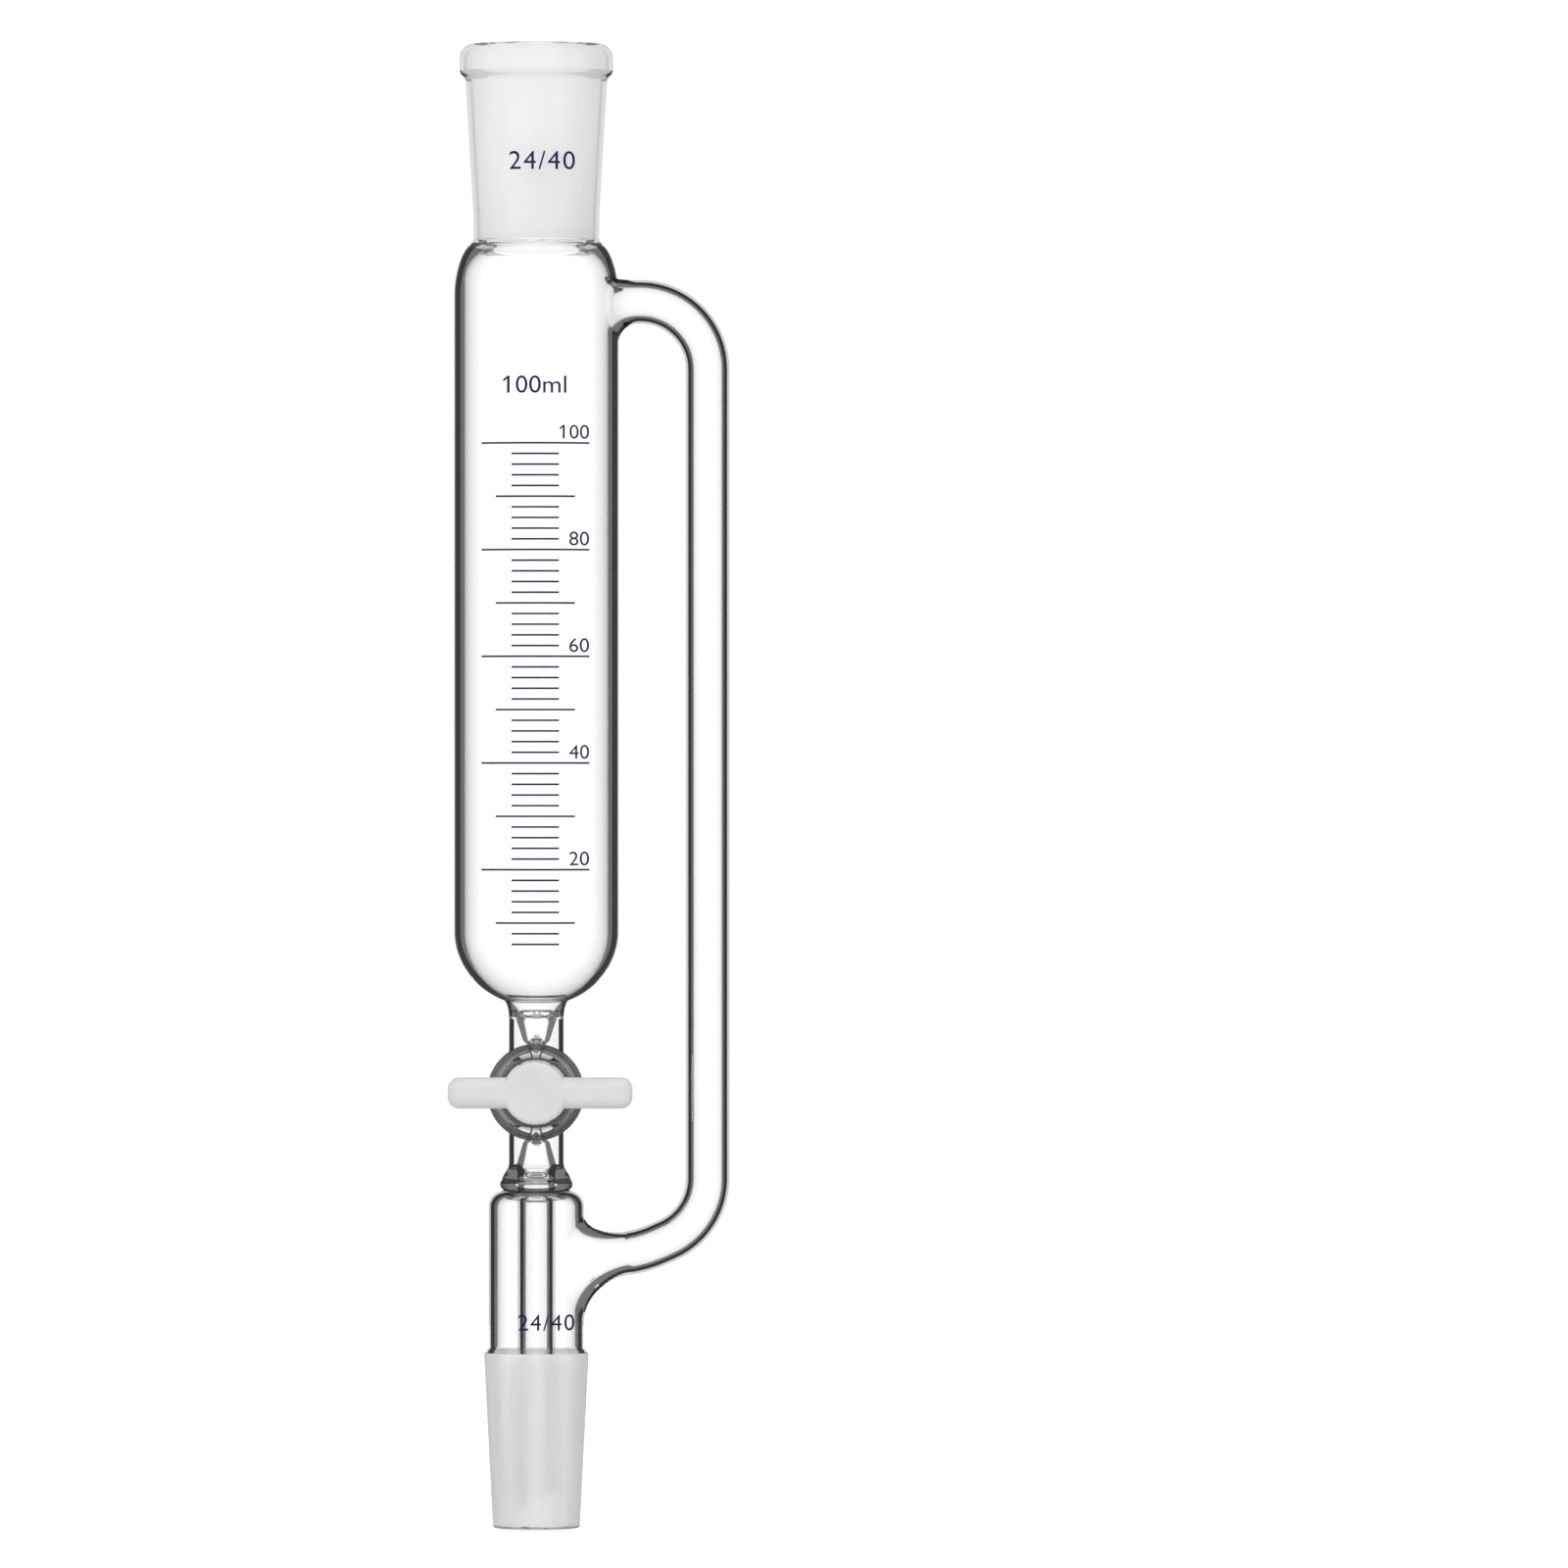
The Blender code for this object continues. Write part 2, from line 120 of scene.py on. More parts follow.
def easePoints(first, last, steps):
    # the points after the first one, leaving and arriving straight up or down
    points = []
    for i in range(1, steps + 1):
        share = i / steps
        ease = share * share * (3 - 2 * share)
        points.append((first[0] + (last[0] - first[0]) * ease, first[1] + (last[1] - first[1]) * share))
    return points


def turnProfile(name, profile, segments, alongY=False, centre=(0, 0, 0)):
    # a disc is added at the first point, then drawn out ring by ring
    clearSelection()
    radius, level = profile[0]
    bpy.ops.mesh.primitive_circle_add(vertices=segments, radius=radius, fill_type="NGON",
                                      location=(0, 0, level))
    piece = bpy.context.object
    piece.name = name
    applyPlace(piece)
    startEdit()
    for nextRadius, nextLevel in profile[1:]:
        bpy.ops.mesh.extrude_region_move(TRANSFORM_OT_translate={"value": (0, 0, nextLevel - level)})
        share = nextRadius / radius
        bpy.ops.transform.resize(value=(share, share, 1), center_override=(0, 0, nextLevel))
        radius, level = nextRadius, nextLevel
    finishShell()
    if alongY:
        piece.rotation_euler = (-math.pi / 2, 0, 0)
    piece.location = centre
    applyPlace(piece)
    return piece


def applyModifier(piece, kind, **settings):
    pickOnly(piece)
    modifier = piece.modifiers.new(kind.lower(), kind)
    for name, value in settings.items():
        setattr(modifier, name, value)
    bpy.ops.object.modifier_apply(modifier=modifier.name)


def combine(target, tool, operation):
    applyModifier(target, "BOOLEAN", operation=operation, solver="EXACT", object=tool)
    bpy.data.objects.remove(tool)


def bevelSharp(piece, width, segments, degrees):
    applyModifier(piece, "BEVEL", width=width, segments=segments, limit_method="ANGLE",
                  angle_limit=math.radians(degrees))


def smoothPiece(piece, degrees):
    pickOnly(piece)
    bpy.ops.object.shade_smooth_by_angle(angle=math.radians(degrees))


def setFinishes(piece, *finishes):
    piece.data.materials.clear()
    for finish in finishes:
        piece.data.materials.append(finish)


def dressPiece(piece, body, slotName, *nodes):
    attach(piece, body)
    if nodes:
        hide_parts(*nodes)
    print("  piece", piece.name, len(piece.data.polygons), "faces")


# node helpers and shared node groups


def linkUp(tree, start, end):
    tree.links.new(start, end)


def feed(tree, socket, value):
    # a link from another node, or else a fixed value
    if isinstance(value, bpy.types.NodeSocket):
        linkUp(tree, value, socket)
    elif value is not None:
        socket.default_value = value


def setSockets(node, values):
    for name, value in values.items():
        node.inputs[name].default_value = value


def objectPlace(tree):
    return tree.nodes.new("ShaderNodeTexCoord").outputs["Object"]


def splitVector(tree, vector):
    node = tree.nodes.new("ShaderNodeSeparateXYZ")
    linkUp(tree, vector, node.inputs[0])
    return tuple(node.outputs)


def addMath(tree, operation, first, second=None, third=None, clamped=False):
    node = tree.nodes.new("ShaderNodeMath")
    node.operation = operation
    node.use_clamp = clamped
    for socket, value in zip(node.inputs, (first, second, third)):
        feed(tree, socket, value)
    return node.outputs[0]


def addVector(tree, operation, first, second=None, scale=None):
    node = tree.nodes.new("ShaderNodeVectorMath")
    node.operation = operation
    feed(tree, node.inputs[0], first)
    feed(tree, node.inputs[1], second)
    if scale is not None:
        linkUp(tree, scale, node.inputs["Scale"])
    return node.outputs["Value" if operation == "DOT_PRODUCT" else "Vector"]


def addRange(tree, value, fromLow, fromHigh, toLow, toHigh, smooth=False, clamped=True):
    node = tree.nodes.new("ShaderNodeMapRange")
    node.interpolation_type = "SMOOTHSTEP" if smooth else "LINEAR"
    node.clamp = clamped
    names = ("Value", "From Min", "From Max", "To Min", "To Max")
    for name, given in zip(names, (value, fromLow, fromHigh, toLow, toHigh)):
        feed(tree, node.inputs[name], given)
    return node.outputs["Result"]


def addColourMix(tree, factor, first, second):
    node = tree.nodes.new("ShaderNodeMix")
    node.data_type = "RGBA"
    feed(tree, node.inputs[0], factor)
    feed(tree, node.inputs[6], first)
    feed(tree, node.inputs[7], second)
    return node.outputs[2]


def addShaderMix(tree, factor, first, second):
    node = tree.nodes.new("ShaderNodeMixShader")
    for socket, source in zip(node.inputs, (factor, first, second)):
        linkUp(tree, source, socket)
    return node.outputs[0]


def addEmission(tree, strength):
    node = tree.nodes.new("ShaderNodeEmission")
    feed(tree, node.inputs["Strength"], strength)
    return node.outputs[0]


def addNoise(tree, vector, scale, detail):
    node = tree.nodes.new("ShaderNodeTexNoise")
    node.inputs["Detail"].default_value = detail
    feed(tree, node.inputs["Scale"], scale)
    feed(tree, node.inputs["Vector"], vector)
    return node.outputs["Fac"]


def startGroup(name, inputs, outputs):
    group = bpy.data.node_groups.new(name, "ShaderNodeTree")
    for label, kind, value in inputs:
        socket = group.interface.new_socket(label, in_out="INPUT", socket_type=kind)
        socket.default_value = value
    for label, kind in outputs:
        group.interface.new_socket(label, in_out="OUTPUT", socket_type=kind)
    return group, group.nodes.new("NodeGroupInput"), group.nodes.new("NodeGroupOutput")


def placeGroup(tree, group, **values):
    node = tree.nodes.new("ShaderNodeGroup")
    node.node_tree = group
    setSockets(node, values)
    return node


def makeCloudGroup():
    # soft patches between two colours, with a roughness and a height that follow them
    group, given, made = startGroup(
        "softClouds",
        [("Colour", "NodeSocketColor", (0.8, 0.8, 0.8, 1)), ("Patch", "NodeSocketColor", (0.7, 0.7, 0.7, 1)),
         ("Scale", "NodeSocketFloat", 60.0), ("Stretch", "NodeSocketFloat", 1.0),
         ("Roughness", "NodeSocketFloat", 0.5), ("Spread", "NodeSocketFloat", 0.1)],
        [("Colour", "NodeSocketColor"), ("Roughness", "NodeSocketFloat"), ("Height", "NodeSocketFloat")])
    squeeze = group.nodes.new("ShaderNodeCombineXYZ")
    for socket, value in zip(squeeze.inputs, (1, 1, given.outputs["Stretch"])):
        feed(group, socket, value)
    stretched = addVector(group, "MULTIPLY", objectPlace(group), squeeze.outputs[0])
    noise = addNoise(group, stretched, given.outputs["Scale"], 3)
    share = addRange(group, noise, 0.35, 0.65, 0.0, 1.0, True)
    colour = addColourMix(group, share, given.outputs["Colour"], given.outputs["Patch"])
    swing = addMath(group, "MULTIPLY", addMath(group, "SUBTRACT", share, 0.5), given.outputs["Spread"])
    linkUp(group, colour, made.inputs["Colour"])
    linkUp(group, addMath(group, "ADD", given.outputs["Roughness"], swing), made.inputs["Roughness"])
    linkUp(group, share, made.inputs["Height"])
    return group


def makeRingGroup():
    # fine turned rings about the stopcock's axis, which also step along it
    group, given, made = startGroup(
        "turnedRings",
        [("Pitch", "NodeSocketFloat", 0.0004), ("Level", "NodeSocketFloat", 0.0),
         ("Slant", "NodeSocketFloat", 0.7)],
        [("Height", "NodeSocketFloat")])
    across, along, height = splitVector(group, objectPlace(group))
    rise = addMath(group, "SUBTRACT", height, given.outputs["Level"])
    squares = addMath(group, "ADD", addMath(group, "MULTIPLY", across, across),
                      addMath(group, "MULTIPLY", rise, rise))
    radius = addMath(group, "SQRT", squares)
    path = addMath(group, "ADD", radius, addMath(group, "MULTIPLY", along, given.outputs["Slant"]))
    turns = addMath(group, "DIVIDE", path, given.outputs["Pitch"])
    wave = addMath(group, "SINE", addMath(group, "MULTIPLY", turns, 2 * math.pi))
    linkUp(group, wave, made.inputs["Height"])
    return group


cloudGroup = makeCloudGroup()
ringGroup = makeRingGroup()


def startMaterial(name):
    material = bpy.data.materials.new(name)
    material.use_nodes = True
    tree = material.node_tree
    return material, tree, tree.nodes["Principled BSDF"], tree.nodes["Material Output"]


def addClouds(tree, shader, look):
    # colour and roughness of a finish, from the soft patches
    clouds = placeGroup(tree, cloudGroup, Colour=(*look["colour"], 1), Patch=(*look["patch"], 1),
                        Scale=look["scale"], Stretch=look["stretch"], Roughness=look["roughness"],
                        Spread=look["spread"])
    linkUp(tree, clouds.outputs["Colour"], shader.inputs["Base Color"])
    linkUp(tree, clouds.outputs["Roughness"], shader.inputs["Roughness"])
    return clouds


def addBump(tree, shader, height, strength, distance):
    bump = tree.nodes.new("ShaderNodeBump")
    setSockets(bump, {"Strength": strength, "Distance": distance})
    linkUp(tree, height, bump.inputs["Height"])
    linkUp(tree, bump.outputs["Normal"], shader.inputs["Normal"])


def letLampsThrough(tree, shader, output, colour):
    clear = tree.nodes.new("ShaderNodeBsdfTransparent")
    clear.inputs["Color"].default_value = (*colour, 1)
    inShadow = tree.nodes.new("ShaderNodeLightPath").outputs["Is Shadow Ray"]
    linkUp(tree, addShaderMix(tree, inShadow, shader.outputs[0], clear.outputs[0]), output.inputs["Surface"])


# studio: world, floor, lamps and camera

studio = {
    "lightLevel": 0.62,
    "mirrored": 0.10,
    "trapped": 0.085,
    "trappedAbove": 0.13,
    "trappedBelow": 0.11,
    "steepSpan": (0.45, 0.85),
    "floorLevel": -0.0405,
    "floorSize": 3.0,
    "floorGrey": 0.86,
    "floorLift": 0.52,
    "cameraPlace": (0.0568, -4.0, 0.1306),
    "lens": 400.4,
    "sensor": 36,
    # place, target, size and power of each lamp
    "lamps": {
        "keyLamp": ((-0.9, -1.3, 1.5), (0.01, 0, 0.12), (1.2, 1.2), 13),
        "fillLamp": ((1.3, -1.2, 0.7), (0.01, 0, 0.10), (1.0, 1.4), 5),
        "backLamp": ((0.0, 1.6, 1.1), (0.01, 0, 0.12), (1.4, 1.0), 5),
    },
    # how often light may turn round inside the glass
    "bounces": {"max_bounces": 32, "transmission_bounces": 28, "glossy_bounces": 12,
                "transparent_max_bounces": 24},
}


def rayBrightness(tree, trappedBrightness):
    # white straight behind the glass, dim for light that turned round inside it
    path = tree.nodes.new("ShaderNodeLightPath").outputs
    straight = addMath(tree, "LESS_THAN", path["Glossy Depth"], 0.5)
    undimmed = addMath(tree, "LESS_THAN", path["Diffuse Depth"], 0.5)
    through = addMath(tree, "MULTIPLY", path["Is Transmission Ray"], undimmed)
    mirrored = addMath(tree, "MULTIPLY", path["Is Glossy Ray"], undimmed)
    seen = addMath(tree, "MAXIMUM", path["Is Camera Ray"], addMath(tree, "MULTIPLY", through, straight))
    trapped = addMath(tree, "MULTIPLY", through, addMath(tree, "SUBTRACT", 1.0, straight))
    special = addMath(tree, "ADD", seen, addMath(tree, "ADD", trapped, mirrored))
    plain = addMath(tree, "SUBTRACT", 1.0, special, clamped=True)
    total = addMath(tree, "MULTIPLY", plain, studio["lightLevel"])
    total = addMath(tree, "MULTIPLY_ADD", mirrored, studio["mirrored"], total)
    total = addMath(tree, "MULTIPLY_ADD", trapped, trappedBrightness, total)
    return addMath(tree, "ADD", total, seen), plain


def makeWorld():
    world = bpy.data.worlds.new("studio")
    bpy.context.scene.world = world
    world.use_nodes = True
    tree = world.node_tree
    background = tree.nodes.get("Background") or tree.nodes.new("ShaderNodeBackground")
    output = tree.nodes.get("World Output") or tree.nodes.new("ShaderNodeOutputWorld")
    background.inputs["Color"].default_value = (1, 1, 1, 1)
    # light that turned round inside the glass and left it steeply meets the soft boxes
    heading = tree.nodes.new("ShaderNodeTexCoord").outputs["Generated"]
    steep = addMath(tree, "ABSOLUTE", splitVector(tree, heading)[2])
    turnedRound = addRange(tree, steep, *studio["steepSpan"], studio["trapped"], studio["trappedAbove"], True)
    linkUp(tree, rayBrightness(tree, turnedRound)[0], background.inputs["Strength"])
    linkUp(tree, background.outputs[0], output.inputs[0])


def makeFloor():
    clearSelection()
    bpy.ops.mesh.primitive_plane_add(size=studio["floorSize"], location=(0, 0, studio["floorLevel"]))
    floor = bpy.context.object
    floor.name = "floor"
    material, tree, shader, output = startMaterial("paleFloor")
    grey = studio["floorGrey"]
    setSockets(shader, {"Base Color": (grey, grey, grey, 1), "Roughness": 0.8, "Specular IOR Level": 0.1})
    lit = tree.nodes.new("ShaderNodeAddShader")
    linkUp(tree, shader.outputs[0], lit.inputs[0])
    linkUp(tree, addEmission(tree, studio["floorLift"]), lit.inputs[1])
    fromCamera = tree.nodes.new("ShaderNodeLightPath").outputs["Is Camera Ray"]
    bare = addShaderMix(tree, fromCamera, shader.outputs[0], lit.outputs[0])
    brightness, plain = rayBrightness(tree, studio["trappedBelow"])
    own = addMath(tree, "MAXIMUM", plain, fromCamera)
    linkUp(tree, addShaderMix(tree, own, addEmission(tree, brightness), bare), output.inputs["Surface"])
    setFinishes(floor, material)


def addLamp(name, place, target, size, power):
    clearSelection()
    bpy.ops.object.light_add(type="AREA", location=place)
    lamp = bpy.context.object
    lamp.name = name
    lamp.data.shape = "RECTANGLE"
    lamp.data.size, lamp.data.size_y = size
    lamp.data.energy = power
    lamp.rotation_euler = (Vector(target) - Vector(place)).to_track_quat("-Z", "Y").to_euler()
    lamp.visible_camera = False
    lamp.visible_glossy = False
    lamp.visible_transmission = False


def makeCamera():
    clearSelection()
    bpy.ops.object.camera_add(location=studio["cameraPlace"], rotation=(math.pi / 2, 0, 0))
    camera = bpy.context.object
    camera.data.lens = studio["lens"]
    camera.data.sensor_width = studio["sensor"]
    camera.data.clip_start = 0.1
    camera.data.clip_end = 100
    bpy.context.scene.camera = camera


makeWorld()
makeFloor()
for lampName, lampValues in studio["lamps"].items():
    addLamp(lampName, *lampValues)
makeCamera()
bpy.context.scene.view_settings.view_transform = "Standard"
for settingName, count in studio["bounces"].items():
    setattr(bpy.context.scene.cycles, settingName, count)
bpy.context.scene.cycles.caustics_refractive = True
print("studio ready")


# glass body

glass = {
    "turns": 128,
    "barrelTurns": 96,
    "boreTurns": 64,
    "tubeTurns": 56,
    "overrun": 0.004,
    "coneLarge": 0.0120,
    "coneSmall": 0.0100,
    "coneWall": 0.0020,
    "coneBead": 0.0014,
    "coneEdge": 0.0006,
    "coneEdgeDrop": 0.0002,
    "jointLength": 0.0400,
    "tipRound": 0.0007,
    "tipFlare": 0.0008,
    "tipFlareStep": (0.0004, 0.0003),
    "tipFlareDepth": 0.0012,
    "lipLevel": -0.0391,
    "beadTop": 0.0018,
    "roomBeadTop": 0.0020,
    "jacketRadius": 0.0109,
    "jacketWall": 0.0019,
    "jacketRoof": 0.0013,
    "jacketCorner": 0.0036,
    "cornerShare": 0.6,
    "dripRadius": 0.0044,
    "dripBore": 0.0025,
    "dripLength": 0.0708,
    "dripSlant": math.radians(30),
    "dripFillet": 0.0012,
    "ringRadius": 0.0083,
    "ringHeight": 0.0062,
    "ringPinch": 0.0074,
    "ringBead": 0.0014,
    "ringSeat": 0.0001,
    "pinchRise": 0.0002,
    "stemRadius": 0.00625,
    "stemMouth": 0.0077,
    "stemFlare": 0.0044,
    "stemBore": 0.0032,
    "boreMelt": 0.0010,
    "throatRadius": 0.0042,
    "throatLevel": 0.0776,
    "throatMelt": 0.0006,
    "portMouth": 0.0021,
    "portRadius": 0.0014,
    "portReach": 0.0118,
    "portMelt": 0.0012,
    "reservoirRadius": 0.01885,
    "reservoirWall": 0.0023,
    "bowlDepth": 0.0172,
    "bowlInside": 0.0159,
    "bowlLip": (0.0003, 0.0005),
    "domeStart": 0.2455,
    "domeFiner": 0.022,
    "domeReach": 0.0068,
    "domeRise": 0.0089,
    "domeLip": (0.0006, 0.0007),
    "shoulderFiner": 0.024,
    "shoulderSwell": 1.8,
    "shoulderFall": 0.55,
    "shoulderSteps": 20,
    "shoulderTurn": 84,
    "socketRoot": 0.0144,
    "socketTop": 0.0162,
    "footMelt": 0.0009,
    "footHeight": 0.0064,
    "neckMelt": 0.0005,
    "rimRadius": 0.0176,
    "rimHeight": 0.0078,
    "rimTopRound": 0.0032,
    "rimUnderRound": 0.0020,
    "mouthBevel": 0.0009,
    "mouthDepth": 0.0010,
}


def bodyProfile():
    # outside of everything turned about the main axis, from the cone's tip up to the rim
    g = glass
    tip, edge, bead = levels["coneTip"], g["coneEdge"], g["ringBead"]
    slope = (g["coneLarge"] - g["coneSmall"]) / -tip
    rounding = g["tipRound"]
    points = arcPoints(g["coneSmall"] - rounding, tip + rounding, rounding, rounding, -90, -6, 5)
    points += linePoints(points[-1], (g["coneLarge"] - slope * edge, -edge), 12)
    points += arcPoints(g["coneLarge"] - edge, -g["coneEdgeDrop"], edge, edge, -10, 60, 3)
    points += easePoints(points[-1], (g["jacketRadius"], g["beadTop"]), 5)
    corner = levels["jacketTop"] - g["jacketCorner"]
    points += linePoints(points[-1], (g["jacketRadius"], corner), 14)
    points += arcPoints(g["jacketRadius"] - g["jacketCorner"], corner, g["jacketCorner"], g["jacketCorner"],
                        0, 78, 10)[1:]
    points.append((g["ringPinch"], levels["jacketTop"] + g["pinchRise"]))
    seat = levels["jacketTop"] + g["ringSeat"]
    points += arcPoints(g["ringRadius"] - bead, seat + bead, bead, bead, -60, 48, 8)
    points += easePoints(points[-1], (g["stemRadius"], levels["jacketTop"] + g["ringHeight"]), 7)
    mouthLow, widening = levels["stemTop"] - g["stemFlare"], g["stemMouth"] - g["stemRadius"]
    points += linePoints(points[-1], (g["stemRadius"], mouthLow), 12)
    points += arcPoints(g["stemMouth"], mouthLow, widening, g["stemFlare"], 180, 92, 8)[1:]
    mouthAngle = math.degrees(math.acos(g["stemMouth"] / g["reservoirRadius"]))
    points += arcPoints(0, levels["bowlTop"], g["reservoirRadius"], g["bowlDepth"], -mouthAngle, 0, 20)
    points += linePoints(points[-1], (g["reservoirRadius"], levels["shoulder"] - g["shoulderFiner"]), 18)
    points += linePoints(points[-1], (g["reservoirRadius"], levels["shoulder"]), 10)
    height = levels["socketFoot"] - levels["shoulder"]
    for i in range(1, g["shoulderSteps"]):
        turn = math.radians(g["shoulderTurn"] * i / g["shoulderSteps"])
        level = levels["shoulder"] + height * math.sin(turn)
        points.append((reservoirRadiusAt(level, False), level))
    points += easePoints(points[-1], (g["socketRoot"], levels["socketFoot"] + g["footMelt"]), 4)
    points += linePoints(points[-1], (g["socketRoot"], levels["socketFoot"] + g["footHeight"]), 3)
    neck = levels["rimTop"] - g["rimHeight"]
    points += linePoints(points[-1], (g["socketTop"], neck - g["neckMelt"]), 12)
    under, over = g["rimUnderRound"], g["rimTopRound"]
    points += arcPoints(g["rimRadius"] - under, neck + under, under, under, -62, 0, 6)
    points += arcPoints(g["rimRadius"] - over, levels["rimTop"] - over, over, over, 0, 90, 10)
    points.append((g["coneLarge"] + g["mouthBevel"], levels["rimTop"]))
    return points


def insideProfile():
    # ground bore of the socket, the room below it, the funnel, the stopcock's port and the drip tube's bore
    g = glass
    inner = g["reservoirRadius"] - g["reservoirWall"]
    centre, reach, melt = levels["stopcock"], g["portReach"], g["portMelt"]
    points = [(g["dripBore"], levels["jacketTop"] - g["dripLength"] - g["overrun"])]
    melted = levels["jacketTop"] - g["boreMelt"]
    points += linePoints(points[-1], (g["dripBore"], melted - g["jacketWall"]), 12)
    points += easePoints(points[-1], (g["stemBore"], melted + g["ringHeight"]), 6)
    points += linePoints(points[-1], (g["portMouth"], centre - reach), 5)
    points += easePoints(points[-1], (g["portRadius"], centre - reach + melt), 4)
    points += linePoints(points[-1], (g["portRadius"], centre + reach - melt), 3)
    points += easePoints(points[-1], (g["portMouth"], centre + reach), 4)
    points += linePoints(points[-1], (g["stemBore"], g["throatLevel"] - g["throatMelt"]), 5)
    points += easePoints(points[-1], (g["throatRadius"], g["throatLevel"]), 4)
    bowl = arcPoints(0, levels["bowlTop"], inner, g["bowlInside"], -67, 0, 22)
    inset, drop = g["bowlLip"]
    points += linePoints(points[-1], (bowl[0][0] - inset, bowl[0][1] - drop), 5)
    points += bowl
    points += linePoints(points[-1], (inner, g["domeStart"] - g["domeFiner"]), 18)
    points += linePoints(points[-1], (inner, g["domeStart"]), 10)
    points += arcPoints(inner - g["domeReach"], g["domeStart"], g["domeReach"], g["domeRise"], 0, 84, 16)[1:]
    width, height = g["domeLip"]
    points += arcPoints(g["coneSmall"] + width, points[-1][1] + height, width, height, 250, 180, 4)
    points += linePoints(points[-1], (g["coneSmall"], levels["rimTop"] - g["jointLength"]), 3)
    points += linePoints(points[-1], (g["coneLarge"], levels["rimTop"] - g["mouthDepth"]), 14)
    mouth = g["coneLarge"] + g["mouthBevel"]
    points += linePoints(points[-1], (mouth, levels["rimTop"]), 2)
    points.append((mouth, levels["rimTop"] + g["overrun"]))
    return points


def jacketRoomProfile():
    # room between the jacket and the drip tube, open at the cone's tip
    g = glass
    tip, thin = levels["coneTip"], g["coneSmall"] - g["coneWall"]
    inner = g["jacketRadius"] - g["jacketWall"]
    corner = g["jacketCorner"] - g["jacketWall"] * g["cornerShare"]
    roof = levels["jacketTop"] - g["jacketRoof"]
    mouth = thin + g["tipFlare"]
    inset, rise = g["tipFlareStep"]
    points = [(mouth, tip - g["overrun"]), (mouth, tip), (mouth - inset, tip + rise)]
    points.append((thin, tip + g["tipFlareDepth"]))
    points += linePoints(points[-1], (g["coneLarge"] - g["coneWall"], -g["coneBead"]), 12)
    points += easePoints(points[-1], (inner, g["roomBeadTop"]), 6)
    points += linePoints(points[-1], (inner, roof - corner), 12)
    points += arcPoints(inner - corner, roof - corner, corner, corner, 0, 90, 9)[1:]
    return points


def dripTube():
    g = glass
    end, fillet = levels["jacketTop"] - g["dripLength"], g["dripFillet"]
    drop = g["dripRadius"] * math.tan(g["dripSlant"])
    roof = levels["jacketTop"] - g["jacketRoof"]
    points = [(g["dripRadius"], end - drop)]
    points += linePoints(points[-1], (g["dripRadius"], roof - fillet), 14)
    points += arcPoints(g["dripRadius"] + fillet, roof - fillet, fillet, fillet, 180, 90, 5)[1:]
    points.append((g["dripRadius"] + fillet, levels["jacketTop"] - g["jacketRoof"] / 2))
    tube = turnProfile("dripTube", points, g["boreTurns"])
    pickOnly(tube)
    startEdit()
    across = (math.sin(g["dripSlant"]), 0, -math.cos(g["dripSlant"]))
    bpy.ops.mesh.bisect(plane_co=(0, 0, end), plane_no=across, use_fill=True, clear_outer=True)
    endEdit()
    return tube


arm = {
    "radius": 0.0050,
    "wall": 0.0017,
    "reach": 0.0393,
    "bend": 0.0155,
    "rootLevel": 0.2412,
    "footLevel": 0.0213,
    "slope": math.radians(24),
    "footRise": 0.0030,
    "footLean": 0.17,
    "footPull": 0.4,
    # how much the flares widen above, beside and below
    "rootFlare": (0.0003, 0.0052, 0.0044),
    "rootReach": 0.0046,
    "rootFade": 0.0042,
    "footFlare": (0.0057, 0.0036, 0.0090),
    "footReach": 0.0100,
    "footFade": 0.0092,
    "flareRoot": 0.0009,
    "flareSwell": 0.0002,
    "flareSkin": 0.0002,
    "flareHeight": 0.016,
    # rings along each stretch
    "flareRings": 14,
    "bendRings": 24,
    "uprightRings": 24,
    "lowerRings": 20,
    "footRings": 14,
}


def reservoirRadiusAt(level, inside):
    g = glass
    if inside:
        rise = max(level - g["domeStart"], 0) / g["domeRise"]
        inner = g["reservoirRadius"] - g["reservoirWall"]
        return inner - g["domeReach"] * (1 - math.sqrt(max(1 - rise * rise, 0)))
    share = min(max(level - levels["shoulder"], 0) / (levels["socketFoot"] - levels["shoulder"]), 1)
    fall = (1 - share ** g["shoulderSwell"]) ** g["shoulderFall"]
    return g["socketRoot"] + (g["reservoirRadius"] - g["socketRoot"]) * fall


def jacketRadiusAt(level, inside):
    return glass["jacketRadius"] - (glass["jacketWall"] if inside else 0)


def bendStation(angle, middle):
    place = Vector((arm["reach"] - arm["bend"] + arm["bend"] * math.cos(angle),
                    middle + arm["bend"] * math.sin(angle)))
    return place, Vector((math.sin(angle), -math.cos(angle)))


